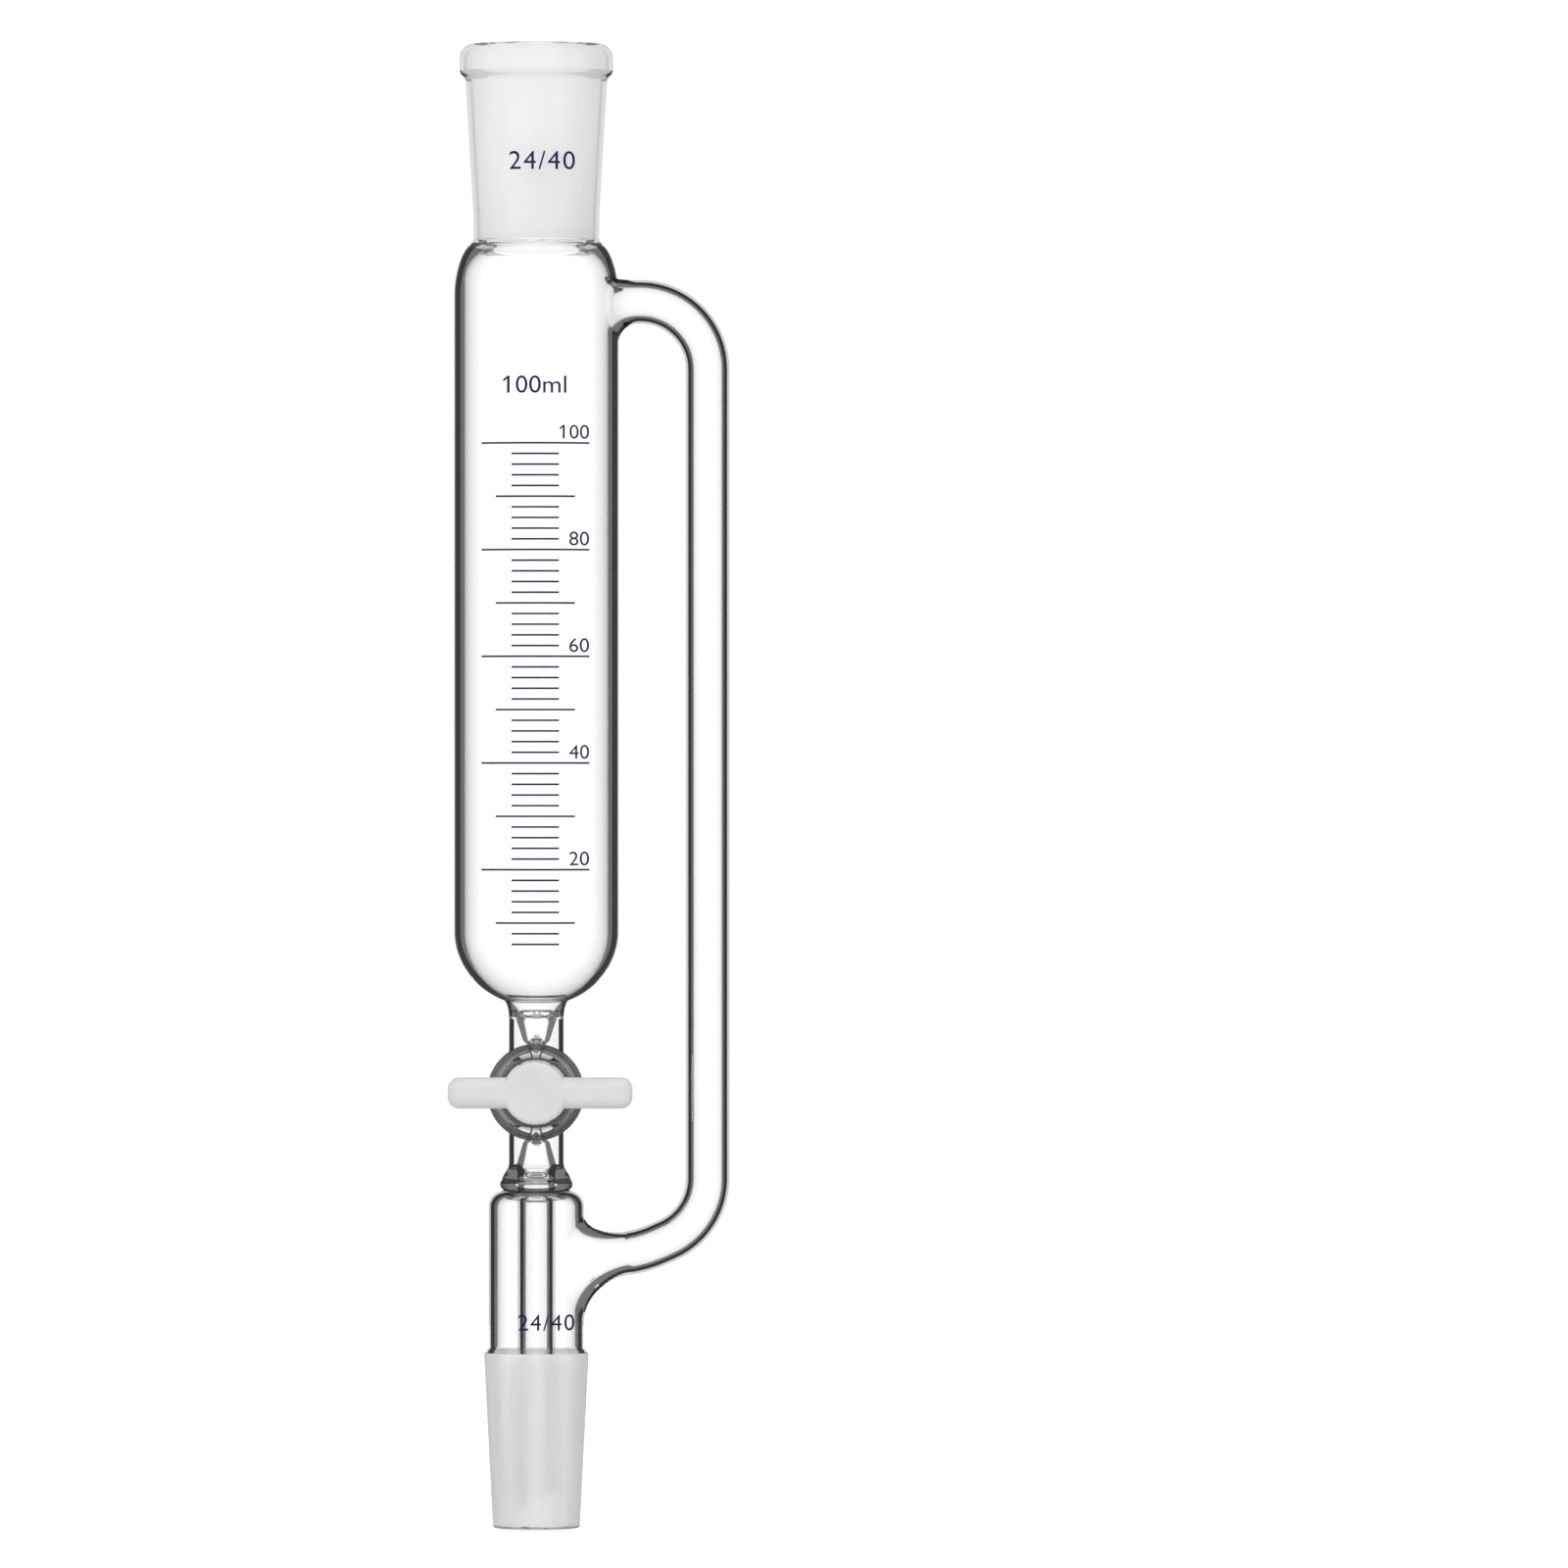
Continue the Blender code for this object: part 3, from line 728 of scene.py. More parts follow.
def armStations():
    # centre line between the two flares: place and heading in the XZ plane
    count = arm["bendRings"]
    bendHigh = arm["rootLevel"] - arm["bend"]
    stations = [bendStation(math.radians(90 - 90 * i / count), bendHigh) for i in range(count + 1)]
    turn = math.pi / 2 - arm["slope"]
    end = Vector((glass["jacketRadius"] + arm["footReach"],
                  arm["footLevel"] + arm["footLean"] * arm["footReach"]))
    bendLow = end.y + arm["footRise"] + arm["bend"] * math.sin(turn)
    upper, count = stations[-1][0], arm["uprightRings"]
    for i in range(1, count):
        stations.append((upper + (Vector((upper.x, bendLow)) - upper) * i / count, Vector((0, -1))))
    count = arm["lowerRings"]
    stations += [bendStation(-turn * i / count, bendLow) for i in range(count + 1)]
    last, heading = stations[-1]
    pull = (last - end).length * arm["footPull"]
    controls = (last, last + heading * pull, end + Vector((pull, pull * arm["footLean"])), end)
    count = arm["footRings"]
    for i in range(1, count):
        t = i / count
        weights = ((1 - t) ** 3, 3 * t * (1 - t) ** 2, 3 * t * t * (1 - t), t ** 3)
        slopes = (-3 * (1 - t) ** 2, 3 * (1 - t) * (1 - 3 * t), 3 * t * (2 - 3 * t), 3 * t * t)
        place = sum((c * w for c, w in zip(controls, weights)), Vector((0, 0)))
        tangent = sum((c * w for c, w in zip(controls, slopes)), Vector((0, 0)))
        stations.append((place, tangent.normalized()))
    return stations


def flareRings(level, wallAt, inside, tubeRadius, flare, reach, lean):
    # rings that widen a level tube into a round wall; flare says how far above, beside and below
    turns = glass["tubeTurns"]
    above, beside, below = flare
    steps = [(-arm["flareSwell"], -arm["flareRoot"], 1)]
    for i in range(arm["flareRings"] + 1):
        angle = math.radians(90 * i / arm["flareRings"])
        away = reach * (1 - math.cos(angle))
        steps.append((math.sin(angle), away, 1 - away / reach))
    placed = []
    for taken, away, drape in steps:
        ring = []
        for j in range(turns):
            angle = 2 * math.pi * j / turns
            upright = math.sin(angle)
            spread = beside + ((above if upright > 0 else below) - beside) * upright * upright
            radius = tubeRadius + spread * (1 - taken)
            z = level + max(away, 0) * lean + radius * upright
            wallRadius = wallAt(z, inside)
            side = radius * math.cos(angle)
            roundX = math.sqrt(wallRadius ** 2 - side ** 2)
            levelX = wallAt(level, inside)
            ring.append(Vector((levelX + away + (roundX - levelX) * drape, side, z)))
        placed.append(ring)
    return placed


def tubeRing(place, heading, radius):
    ring = []
    for j in range(glass["tubeTurns"]):
        angle = 2 * math.pi * j / glass["tubeTurns"]
        side, rise = radius * math.cos(angle), radius * math.sin(angle)
        ring.append(Vector((place.x - heading.y * rise, side, place.y + heading.x * rise)))
    return ring


def sideArm(name, inside):
    # a disc drawn out once for each station, whose rings then take their places along the arm
    turns = glass["tubeTurns"]
    radius = arm["radius"] - arm["wall"] if inside else arm["radius"]
    rootDepth = glass["reservoirWall"] if inside else 0
    footDepth = glass["jacketWall"] if inside else 0
    rings = flareRings(arm["rootLevel"], reservoirRadiusAt, inside, radius, arm["rootFlare"],
                       arm["rootReach"] + rootDepth, 0)
    rings += [tubeRing(place, heading, radius) for place, heading in armStations()]
    foot = flareRings(arm["footLevel"], jacketRadiusAt, inside, radius, arm["footFlare"],
                      arm["footReach"] + footDepth, arm["footLean"])
    rings += [[ring[-j % turns] for j in range(turns)] for ring in reversed(foot)]
    clearSelection()
    bpy.ops.mesh.primitive_circle_add(vertices=turns, radius=radius, fill_type="NGON")
    tube = bpy.context.object
    tube.name = name
    startEdit()
    for i in range(len(rings) - 1):
        bpy.ops.mesh.extrude_region_move(TRANSFORM_OT_translate={"value": (0, 0, 1)})
    endEdit()
    for vertex in tube.data.vertices:
        turn = round(math.atan2(vertex.co.y, vertex.co.x) / (2 * math.pi) * turns)
        vertex.co = rings[round(vertex.co.z)][turn % turns]
    startEdit()
    finishShell()
    return tube


barrel = {
    "half": 0.0150,
    "bore": 0.0074,
    "wall": 0.0032,
    "taper": 0.10,
    "bead": 0.0005,
    "beadLength": 0.0032,
    # where the front bead has faded, and where the back one starts and is full, in bead lengths
    "beadEnds": (1.6, 1.4, 0.7),
    "outerRound": 0.0020,
    "innerRound": 0.0016,
}


def barrelProfile():
    b = barrel
    half, bead, length, rounding = b["half"], b["bead"], b["beadLength"], b["outerRound"]
    front = b["bore"] + b["wall"] + bead
    back = b["bore"] - b["taper"] * half * 2 + b["wall"]
    faded, start, full = b["beadEnds"]
    points = arcPoints(front - rounding, rounding - half, rounding, rounding, -90, 0, 7)
    points += linePoints(points[-1], (front, length - half), 2)
    points += easePoints(points[-1], (front - bead, length * faded - half), 5)
    points += linePoints(points[-1], (back, half - length * start), 10)
    points += easePoints(points[-1], (back + bead, half - length * full), 5)
    points += arcPoints(back + bead - rounding, half - rounding, rounding, rounding, 0, 90, 7)
    return points


def barrelBoreProfile():
    # the bore flares at both ends, where the lips were melted round
    b = barrel
    lip = b["innerRound"]
    small = b["bore"] - b["taper"] * b["half"] * 2
    points = [(b["bore"] + lip, -b["half"] - glass["overrun"])]
    points += arcPoints(b["bore"] + lip, lip - b["half"], lip, lip, 270, 180, 6)
    points += linePoints(points[-1], (small, b["half"] - lip), 14)
    points += arcPoints(small + lip, b["half"] - lip, lip, lip, 180, 90, 6)[1:]
    points.append((small + lip, b["half"] + glass["overrun"]))
    return points


# what tells the tubes' faces apart: distances in metres, and how far a face may lean
regions = {
    "armGap": 0.0020,
    "armDepth": 0.0200,
    "armRadial": 0.0192,
    "barrelReach": 0.0122,
    "barrelEnd": 0.0085,
    "barrelFacing": 0.2,
    "barrelHole": 0.0070,
    "rimLineLow": 0.0006,
    "rimLineHigh": 0.0016,
    "socketRadial": 0.0140,
    "sealHeight": 0.0060,
    "sealRadial": 0.0055,
    "mouthRadial": 0.0060,
    "shoulderGap": 0.0002,
    "reservoirSkin": 0.0004,
    "jacketRadial": 0.0072,
    "dripRadial": 0.0050,
    "stemReach": 0.0100,
    "stemLow": 0.0050,
    "bowlFootHeight": 0.0050,
    # walls that lean more than this have no tube's axis, and these tubes stand upright
    "straightWall": 0.25,
    "upright": ("reservoir", "jacket", "drip", "stem", "socket"),
}

# where each tube's wall starts and ends, as shares of its radius, and how dark the painted shade of its band
# is: dark edges painted into the glass's colour, since a white studio all round gives the glass no dark edges
paintedShadeBands = {
    "reservoir": (0.878, 0.985, 0.97),
    "arm": (0.66, 0.88, 0.97),
    "jacket": (0.826, 0.955, 0.97),
    "drip": (0.568, 0.84, 0.97),
    "stem": (0.70, 0.98, 0.999),
    "sealRing": (0.16, 1.12, 0.97),
    "bowlFoot": (0.925, 1.02, 0.97),
    "mouth": (0.78, 1.02, 0.95),
    "barrelEnd": (-2.05, 3.28, 0.86),
    "flare": (0.86, 1.08, 0.95),
    "socket": (0.50, 0.91, 0.0),
    # a thin line of painted shade under the rim
    "rimLine": (0.40, 1.20, 0.40),
    "inner": (2.0, 3.0, 0.0),
}
paintedShadeNames = ("shadeBandStart", "shadeBandEnd", "shadeBandDepth")

# wall, level, reach and lean of the widening foot and root of the side arm
flares = (
    (glass["jacketRadius"], arm["footLevel"], arm["footFade"], arm["footLean"]),
    (glass["reservoirRadius"], arm["rootLevel"], arm["rootFade"], 0.0),
)
armLine = [(Vector((place.x, 0, place.y)), Vector((heading.x, 0, heading.y)))
           for place, heading in armStations()]


def nearestStation(centre):
    return min(armLine, key=lambda station: (station[0] - centre).length_squared)


def outsideArm(centre, normal):
    return (centre - nearestStation(centre)[0]).dot(normal) > 0


def reservoirOutside(level):
    drop = max(levels["bowlTop"] - level, 0) / glass["bowlDepth"]
    return reservoirRadiusAt(level, False) * math.sqrt(max(1 - drop * drop, 0))


def flareShare(centre, normal):
    # 1 on the outside of a flare beside its wall, falling to 0 where the arm is a plain tube
    radial = math.hypot(centre.x, centre.y)
    for wall, level, reach, lean in flares:
        rise = centre.z - level - lean * (centre.x - wall)
        beside = centre.x > 0 and wall + arm["flareSkin"] < radial < wall + reach
        if beside and abs(rise) < arm["flareHeight"]:
            outside = centre.y * normal.y + rise * normal.z > 0
            return 1 - (radial - wall) / reach if outside else 0
    return 0


def bandKind(centre, normal):
    # which tube a face belongs to
    r = regions
    if flareShare(centre, normal) > 0:
        return "flare"
    level, radial = centre.z, math.hypot(centre.x, centre.y)
    outward = radial > 0 and (centre.x * normal.x + centre.y * normal.y) / radial > 0
    reach = math.hypot(centre.x, level - levels["stopcock"])
    clearOfBody = level < levels["bowlTop"] - r["armDepth"] or radial > r["armRadial"]
    if centre.x > glass["jacketRadius"] + r["armGap"] and clearOfBody:
        return "arm" if outsideArm(centre, normal) else "inner"
    if reach < r["barrelReach"] and abs(centre.y) > r["barrelEnd"]:
        return "barrelEnd" if abs(normal.y) > r["barrelFacing"] and reach > r["barrelHole"] else "inner"
    if not outward:
        return "inner"
    neck = levels["rimTop"] - glass["rimHeight"]
    if neck - r["rimLineLow"] < level < neck + r["rimLineHigh"]:
        return "rimLine"
    if level > levels["socketFoot"] and radial > r["socketRadial"]:
        return "socket"
    jacketTop, stemTop = levels["jacketTop"], levels["stemTop"]
    if jacketTop < level < jacketTop + r["sealHeight"] and radial > r["sealRadial"]:
        return "sealRing"
    if stemTop - glass["stemFlare"] < level < stemTop and radial > r["mouthRadial"]:
        return "mouth"
    inReservoir = stemTop < level < levels["socketFoot"] - r["shoulderGap"]
    if inReservoir and radial > reservoirOutside(level) - r["reservoirSkin"]:
        return "reservoir"
    if 0.0 < level < jacketTop and radial > r["jacketRadial"]:
        return "jacket"
    if level < jacketTop and radial < r["dripRadial"]:
        return "drip"
    if reach > r["stemReach"] and jacketTop + r["stemLow"] < level < stemTop and radial > r["sealRadial"]:
        return "stem"
    return "inner"


def tubeAxis(kind, centre, normal):
    # the way its tube runs, shorter where the wall curves in towards it
    if kind == "arm":
        axis = nearestStation(centre)[1]
    elif kind in regions["upright"]:
        axis = Vector((0, 0, 1))
    else:
        return Vector((0, 0, 0))
    return axis * max(1 - abs(normal.dot(axis)) / regions["straightWall"], 0)


def blend(low, high, share):
    return [first + (last - first) * share for first, last in zip(low, high)]


def bandValues(kind, centre, normal):
    # the flares fade into the arm, and the bowl's foot into the reservoir
    height = (centre.z - levels["stemTop"]) / regions["bowlFootHeight"]
    if kind == "reservoir" and height < 1:
        return blend(paintedShadeBands["bowlFoot"], paintedShadeBands[kind], max(height, 0))
    if kind == "flare":
        return blend(paintedShadeBands["arm"], paintedShadeBands[kind], flareShare(centre, normal))
    return paintedShadeBands[kind]


def markBands(piece):
    # each face keeps its tube's axis and the shares that its wall gives, for the glass to read when it paints
    # its bands of shade
    attributes = piece.data.attributes
    for name in paintedShadeNames:
        attributes.new(name, "FLOAT", "FACE")
    attributes.new("tubeAxis", "FLOAT_VECTOR", "FACE")
    columns = [attributes[name].data for name in paintedShadeNames]
    axes = attributes["tubeAxis"].data
    for face in piece.data.polygons:
        kind = bandKind(face.center, face.normal)
        axes[face.index].vector = tubeAxis(kind, face.center, face.normal)
        for column, value in zip(columns, bandValues(kind, face.center, face.normal)):
            column[face.index].value = value


# how the clear glass turns a face's share of its wall into a band of painted shade, and its outermost line
# into a painted bright line
clearLook = {
    "bending": 1.47,
    "mirrorTint": 0.3,
    "shadeBandRise": (0.34, 0.46),
    "shadeVeilRise": (-2.6, 0.40),
    "shadeVeilDepth": 0.30,
    "paintedRimRise": (0.95, 1.12),
    "paintedRimAlpha": 0.25,
    "leastLevel": 0.02,
    "shadow": (0.92, 0.93, 0.93),
}


def addMark(tree, name):
    # the outputs of one of the face attributes from markBands
    node = tree.nodes.new("ShaderNodeAttribute")
    node.attribute_name = name
    return node.outputs


def addFacing(tree, normal):
    # how squarely the given direction is seen, from 0 to 1
    weight = tree.nodes.new("ShaderNodeLayerWeight")
    weight.inputs["Blend"].default_value = 0.5
    linkUp(tree, normal, weight.inputs["Normal"])
    return addMath(tree, "SUBTRACT", 1.0, weight.outputs["Facing"])


def addOffset(tree):
    # how far from the tube's middle line the sight meets its wall, as a share of the radius, from any height
    axis = addMark(tree, "tubeAxis")["Vector"]
    normal = tree.nodes.new("ShaderNodeNewGeometry").outputs["Normal"]
    along = addVector(tree, "SCALE", axis, scale=addVector(tree, "DOT_PRODUCT", normal, axis))
    across = addVector(tree, "NORMALIZE", addVector(tree, "SUBTRACT", normal, along))
    facing, steep = addFacing(tree, across), addFacing(tree, axis)
    level = addMath(tree, "SUBTRACT", 1.0, addMath(tree, "MULTIPLY", steep, steep))
    level = addMath(tree, "MAXIMUM", level, clearLook["leastLevel"])
    square = addMath(tree, "DIVIDE", addMath(tree, "MULTIPLY", facing, facing), level)
    return addMath(tree, "SQRT", addMath(tree, "SUBTRACT", 1.0, square))


def makeClearGlass():
    look = clearLook
    material, tree, shader, output = startMaterial("clearGlass")
    tint = look["mirrorTint"]
    setSockets(shader, {"Roughness": 0.0, "IOR": look["bending"], "Transmission Weight": 1.0,
                        "Specular Tint": (tint, tint, tint, 1)})
    start, end, depth = [addMark(tree, name)["Fac"] for name in paintedShadeNames]
    share = addRange(tree, addOffset(tree), start, end, 0.0, 1.0, clamped=False)
    front = addMath(tree, "SUBTRACT", 1.0, tree.nodes.new("ShaderNodeNewGeometry").outputs["Backfacing"])
    # painted shade: the band and the broad veil darken the base colour by the viewing angle, on front faces
    # only
    band = addRange(tree, share, *look["shadeBandRise"], 0.0, 1.0, True)
    veil = addRange(tree, share, *look["shadeVeilRise"], 0.0, look["shadeVeilDepth"], True)
    dark = addMath(tree, "MULTIPLY", addMath(tree, "MAXIMUM", band, veil), depth)
    dark = addMath(tree, "MULTIPLY", dark, front)
    linkUp(tree, addColourMix(tree, dark, (1, 1, 1, 1), (0, 0, 0, 1)), shader.inputs["Base Color"])
    # painted light: alpha from the viewing angle makes the outermost line of each tube see-through and as
    # bright as the studio, where real glass bends the light so little that it stays that bright
    linkUp(tree, addRange(tree, share, *look["paintedRimRise"], 1.0, look["paintedRimAlpha"], True), shader.inputs["Alpha"])
    letLampsThrough(tree, shader, output, look["shadow"])
    return material


# limits and finish of the two ground joints; their glow is painted light, an emission that brightens the
# frosted glass though it is no lamp
ground = {
    "boreFoot": 0.0012,
    "skin": 0.0002,
    "coneRadial": 0.0095,
    "facing": 0.5,
    "grainScale": 9000.0,
    "grainStrength": 0.3,
    "grainDepth": 0.00003,
    "paintedGlowColour": (1.0, 0.995, 0.985, 1),
    "shadow": (0.6, 0.6, 0.6),
    "groundSocket": {"colour": (0.97, 0.97, 0.965), "patch": (0.94, 0.94, 0.94), "scale": 240.0,
                     "stretch": 0.15, "roughness": 0.55, "spread": 0.1, "through": 0.10, "shine": 0.0,
                     "paintedGlow": 0.16},
    "groundCone": {"colour": (0.97, 0.97, 0.965), "patch": (0.90, 0.90, 0.90), "scale": 240.0,
                   "stretch": 0.06, "roughness": 0.55, "spread": 0.1, "through": 0.40, "shine": 0.5,
                   "paintedGlow": 0.03},
}


def makeGroundGlass(name):
    look = ground[name]
    material, tree, shader, output = startMaterial(name)
    addClouds(tree, shader, look)
    # the emission is painted light that brightens the frosted glass
    setSockets(shader, {"IOR": clearLook["bending"], "Specular IOR Level": look["shine"],
                        "Emission Color": ground["paintedGlowColour"], "Emission Strength": look["paintedGlow"],
                        "Transmission Weight": look["through"]})
    grain = addNoise(tree, objectPlace(tree), ground["grainScale"], 2)
    addBump(tree, shader, grain, ground["grainStrength"], ground["grainDepth"])
    letLampsThrough(tree, shader, output, ground["shadow"])
    return material


def markGround(piece):
    # the socket's bore and the cone's outside are ground, the rest is clear
    bottom = levels["socketFoot"] + ground["boreFoot"]
    widest = glass["coneLarge"] + ground["skin"]
    for face in piece.data.polygons:
        centre, normal = face.center, face.normal
        radial = max(math.hypot(centre.x, centre.y), 1e-6)
        outward = (centre.x * normal.x + centre.y * normal.y) / radial
        inBore = centre.z > bottom and radial < widest and outward < -ground["facing"]
        atCone = glass["lipLevel"] < centre.z < ground["skin"] and radial > ground["coneRadial"]
        face.material_index = 1 if inBore else 2 if atCone and outward > ground["facing"] else 0


def buildGlass():
    body = turnProfile("glass_funnel", bodyProfile(), glass["turns"])
    print("  body turned")
    centre, turns = (0, 0, levels["stopcock"]), glass["barrelTurns"]
    combine(body, turnProfile("barrel", barrelProfile(), turns, True, centre), "UNION")
    combine(body, sideArm("armTube", False), "UNION")
    combine(body, sideArm("armBore", True), "DIFFERENCE")
    combine(body, turnProfile("jacketRoom", jacketRoomProfile(), glass["turns"]), "DIFFERENCE")
    combine(body, dripTube(), "UNION")
    combine(body, turnProfile("inside", insideProfile(), glass["turns"]), "DIFFERENCE")
    combine(body, turnProfile("barrelBore", barrelBoreProfile(), turns, True, centre), "DIFFERENCE")
    markBands(body)
    setFinishes(body, makeClearGlass(), makeGroundGlass("groundSocket"), makeGroundGlass("groundCone"))
    markGround(body)
    smoothPiece(body, 40)
    dressPiece(body, "funnel", "borosilicate_glass", "glass_body")


buildGlass()
print("glass ready")


# stopcock: plug with its handle, washer, rubber ring and nut

stopcock = {
    "turns": 128,
    "overcut": 0.001,
    "plugFront": -0.0240,
    "hubRadius": 0.00715,
    "hubEnd": -0.0150,
    "plugSmall": 0.00415,
    "plugBack": 0.0150,
    "plugEdge": 0.0004,
    "backStep": 0.0001,
    "rimEdge": 0.0010,
    "flush": 0.00002,
    "threadRadius": 0.0034,
    "threadDepth": 0.00035,
    "threadStart": 0.0153,
    "threadEnd": 0.0265,
    "threadPitch": 0.0008,
    # places along one turn, and how far the thread stands out there
    "threadShape": ((0.30, 0.0), (0.42, 1.0), (0.88, 1.0), (1.0, 0.0)),
    "crossBore": 0.0015,
    "crossLength": 0.030,
    "handleLeft": -0.0199,
    "handleRight": 0.0222,
    "handleBack": -0.0178,
    "handleHeight": 0.0071,
    "handleCorner": 0.0026,
    "washerSpan": (0.0153, 0.0169),
    "washerRadii": (0.0037, 0.0072),
    "washerEdge": 0.00022,
    "ringMiddle": 0.0046,
    "ringSection": 0.0009,
    "ringPlace": 0.0181,
    "ringSqueeze": 0.97,
    "ringMouldLine": 1.012,
    "ringSkin": 0.00001,
    "nutSpan": (0.0193, 0.0255),
    "nutRadii": (0.0037, 0.0078),
    "nutEdge": 0.00032,
    "nutGrooves": 12,
    "grooveRadius": 0.0009,
    "recessWidth": 0.0022,
    "recessDraft": 0.0002,
    "recessDepth": 0.0007,
}

# colours, soft patches and fine relief of the plain finishes
finishLooks = {
    "whitePtfe": {"colour": (0.80, 0.80, 0.80), "patch": (0.77, 0.77, 0.77), "scale": 180.0, "stretch": 1.0,
                  "roughness": 0.42, "spread": 0.08, "grainStrength": 0.06, "grainDepth": 0.00002,
                  "ringPitch": 0.00045,
                  "sockets": {"IOR": 1.38, "Subsurface Weight": 0.15, "Subsurface Scale": 0.002}},
    "blackRubber": {"colour": (0.02, 0.02, 0.02), "patch": (0.035, 0.035, 0.035), "scale": 900.0,
                    "stretch": 1.0, "roughness": 0.55, "spread": 0.15, "grainStrength": 0.2,
                    "grainDepth": 0.00003},
    "navyEnamel": {"colour": (0.007, 0.009, 0.085), "patch": (0.011, 0.013, 0.105), "scale": 1400.0,
                   "stretch": 1.0, "roughness": 0.45, "spread": 0.15, "grainStrength": 0.2,
                   "grainDepth": 0.00001},
}


def makeFinish(name):
    # a finish with a ring pitch was turned on a lathe, so its fine relief is rings
    look = finishLooks[name]
    material, tree, shader = startMaterial(name)[:3]
    setSockets(shader, look.get("sockets", {}))
    relief = addClouds(tree, shader, look)
    if "ringPitch" in look:
        relief = placeGroup(tree, ringGroup, Pitch=look["ringPitch"], Level=levels["stopcock"])
    addBump(tree, shader, relief.outputs["Height"], look["grainStrength"], look["grainDepth"])
    return material


def alongAxis(name, profile):
    # a shape turned about the stopcock's own axis, its levels read from front to back
    return turnProfile(name, profile, stopcock["turns"], True, (0, 0, levels["stopcock"]))


def plugProfile():
    c = stopcock
    rim, edge, root = c["rimEdge"], c["plugEdge"], c["threadRadius"] - c["threadDepth"]
    points = arcPoints(c["hubRadius"] - rim, c["plugFront"] + c["flush"] + rim, rim, rim, -88, 0, 7)
    points += linePoints(points[-1], (c["hubRadius"], c["hubEnd"]), 4)
    points += linePoints(points[-1], (c["plugSmall"], c["plugBack"] - edge), 16)
    points += arcPoints(c["plugSmall"] - edge, c["plugBack"] - edge, edge, edge, 8, 84, 4)
    points.append((root, c["plugBack"] + c["backStep"]))
    points.append((root, c["threadStart"]))
    level = c["threadStart"]
    while level + c["threadPitch"] < c["threadEnd"] - edge:
        for rise, share in c["threadShape"]:
            points.append((root + c["threadDepth"] * share, level + c["threadPitch"] * rise))
        level += c["threadPitch"]
    points += arcPoints(root - edge, c["threadEnd"] - edge, edge, edge, 0, 80, 4)
    return points


def handleBar():
    c = stopcock
    spans = ((c["handleLeft"], c["handleRight"]), (c["plugFront"], c["handleBack"]))
    middle = [(low + high) / 2 for low, high in spans]
    size = [high - low for low, high in spans]
    clearSelection()
    bpy.ops.mesh.primitive_cube_add(size=1, location=(*middle, levels["stopcock"]))
    bar = bpy.context.object
    bar.scale = (*size, c["handleHeight"])
    applyPlace(bar)
    startEdit("DESELECT")
    endEdit()
    for edge in bar.data.edges:
        first, last = [bar.data.vertices[i].co for i in edge.vertices]
        edge.select = abs(first.y - last.y) > size[1] / 2
    bpy.ops.object.mode_set(mode="EDIT")
    bpy.ops.mesh.select_mode(type="EDGE")
    bpy.ops.mesh.bevel(offset=c["handleCorner"], segments=10, affect="EDGES")
    endEdit()
    bevelSharp(bar, c["rimEdge"], 6, 60)
    return bar


def buildPlug(finish):
    plug = alongAxis("tapered_plug", plugProfile())
    combine(plug, handleBar(), "UNION")
    clearSelection()
    bpy.ops.mesh.primitive_cylinder_add(vertices=48, radius=stopcock["crossBore"],
                                        depth=stopcock["crossLength"], location=(0, 0, levels["stopcock"]),
                                        rotation=(0, math.pi / 2, 0))
    crossBore = bpy.context.object
    applyPlace(crossBore)
    combine(plug, crossBore, "DIFFERENCE")
    setFinishes(plug, finish)
    smoothPiece(plug, 32)
    # flat faces stay flat beside their rounded edges
    applyModifier(plug, "WEIGHTED_NORMAL", keep_sharp=True)
    dressPiece(plug, "stopcock", "ptfe", "stopcock_plug")


def cutHole(piece, radius, front, back):
    over = stopcock["overcut"]
    combine(piece, alongAxis("hole", [(radius, front - over), (radius, back + over)]), "DIFFERENCE")


def buildWasher(finish):
    front, back = stopcock["washerSpan"]
    small, large = stopcock["washerRadii"]
    washer = alongAxis("flat_washer", [(large, front), (large, back)])
    cutHole(washer, small, front, back)
    bevelSharp(washer, stopcock["washerEdge"], 3, 40)
    setFinishes(washer, finish)
    smoothPiece(washer, 35)
    dressPiece(washer, "stopcock", "ptfe", "plug_washer")


def buildRing(finish):
    # squeezed a little between washer and nut, with the fine mould line round its outside
    c = stopcock
    middle = (0, c["ringPlace"], levels["stopcock"])
    clearSelection()
    bpy.ops.mesh.primitive_torus_add(major_radius=c["ringMiddle"], minor_radius=c["ringSection"],
                                     major_segments=96, minor_segments=24, location=middle,
                                     rotation=(math.pi / 2, 0, 0))
    ring = bpy.context.object
    ring.name = "rubber_ring"
    applyPlace(ring)
    bpy.ops.object.mode_set(mode="EDIT")
    bpy.ops.mesh.select_mode(type="VERT")
    bpy.ops.mesh.select_all(action="SELECT")
    bpy.ops.transform.resize(value=(1, c["ringSqueeze"], 1), center_override=middle)
    bpy.ops.mesh.select_all(action="DESELECT")
    endEdit()
    outer = c["ringMiddle"] + c["ringSection"] - c["ringSkin"]
    for vertex in ring.data.vertices:
        vertex.select = math.hypot(vertex.co.x, vertex.co.z - levels["stopcock"]) > outer
    bpy.ops.object.mode_set(mode="EDIT")
    bpy.ops.transform.resize(value=(c["ringMouldLine"], 1, c["ringMouldLine"]), center_override=middle)
    endEdit()
    setFinishes(ring, finish)
    smoothPiece(ring, 60)
    dressPiece(ring, "stopcock", "black_rubber", "plug_o_ring")


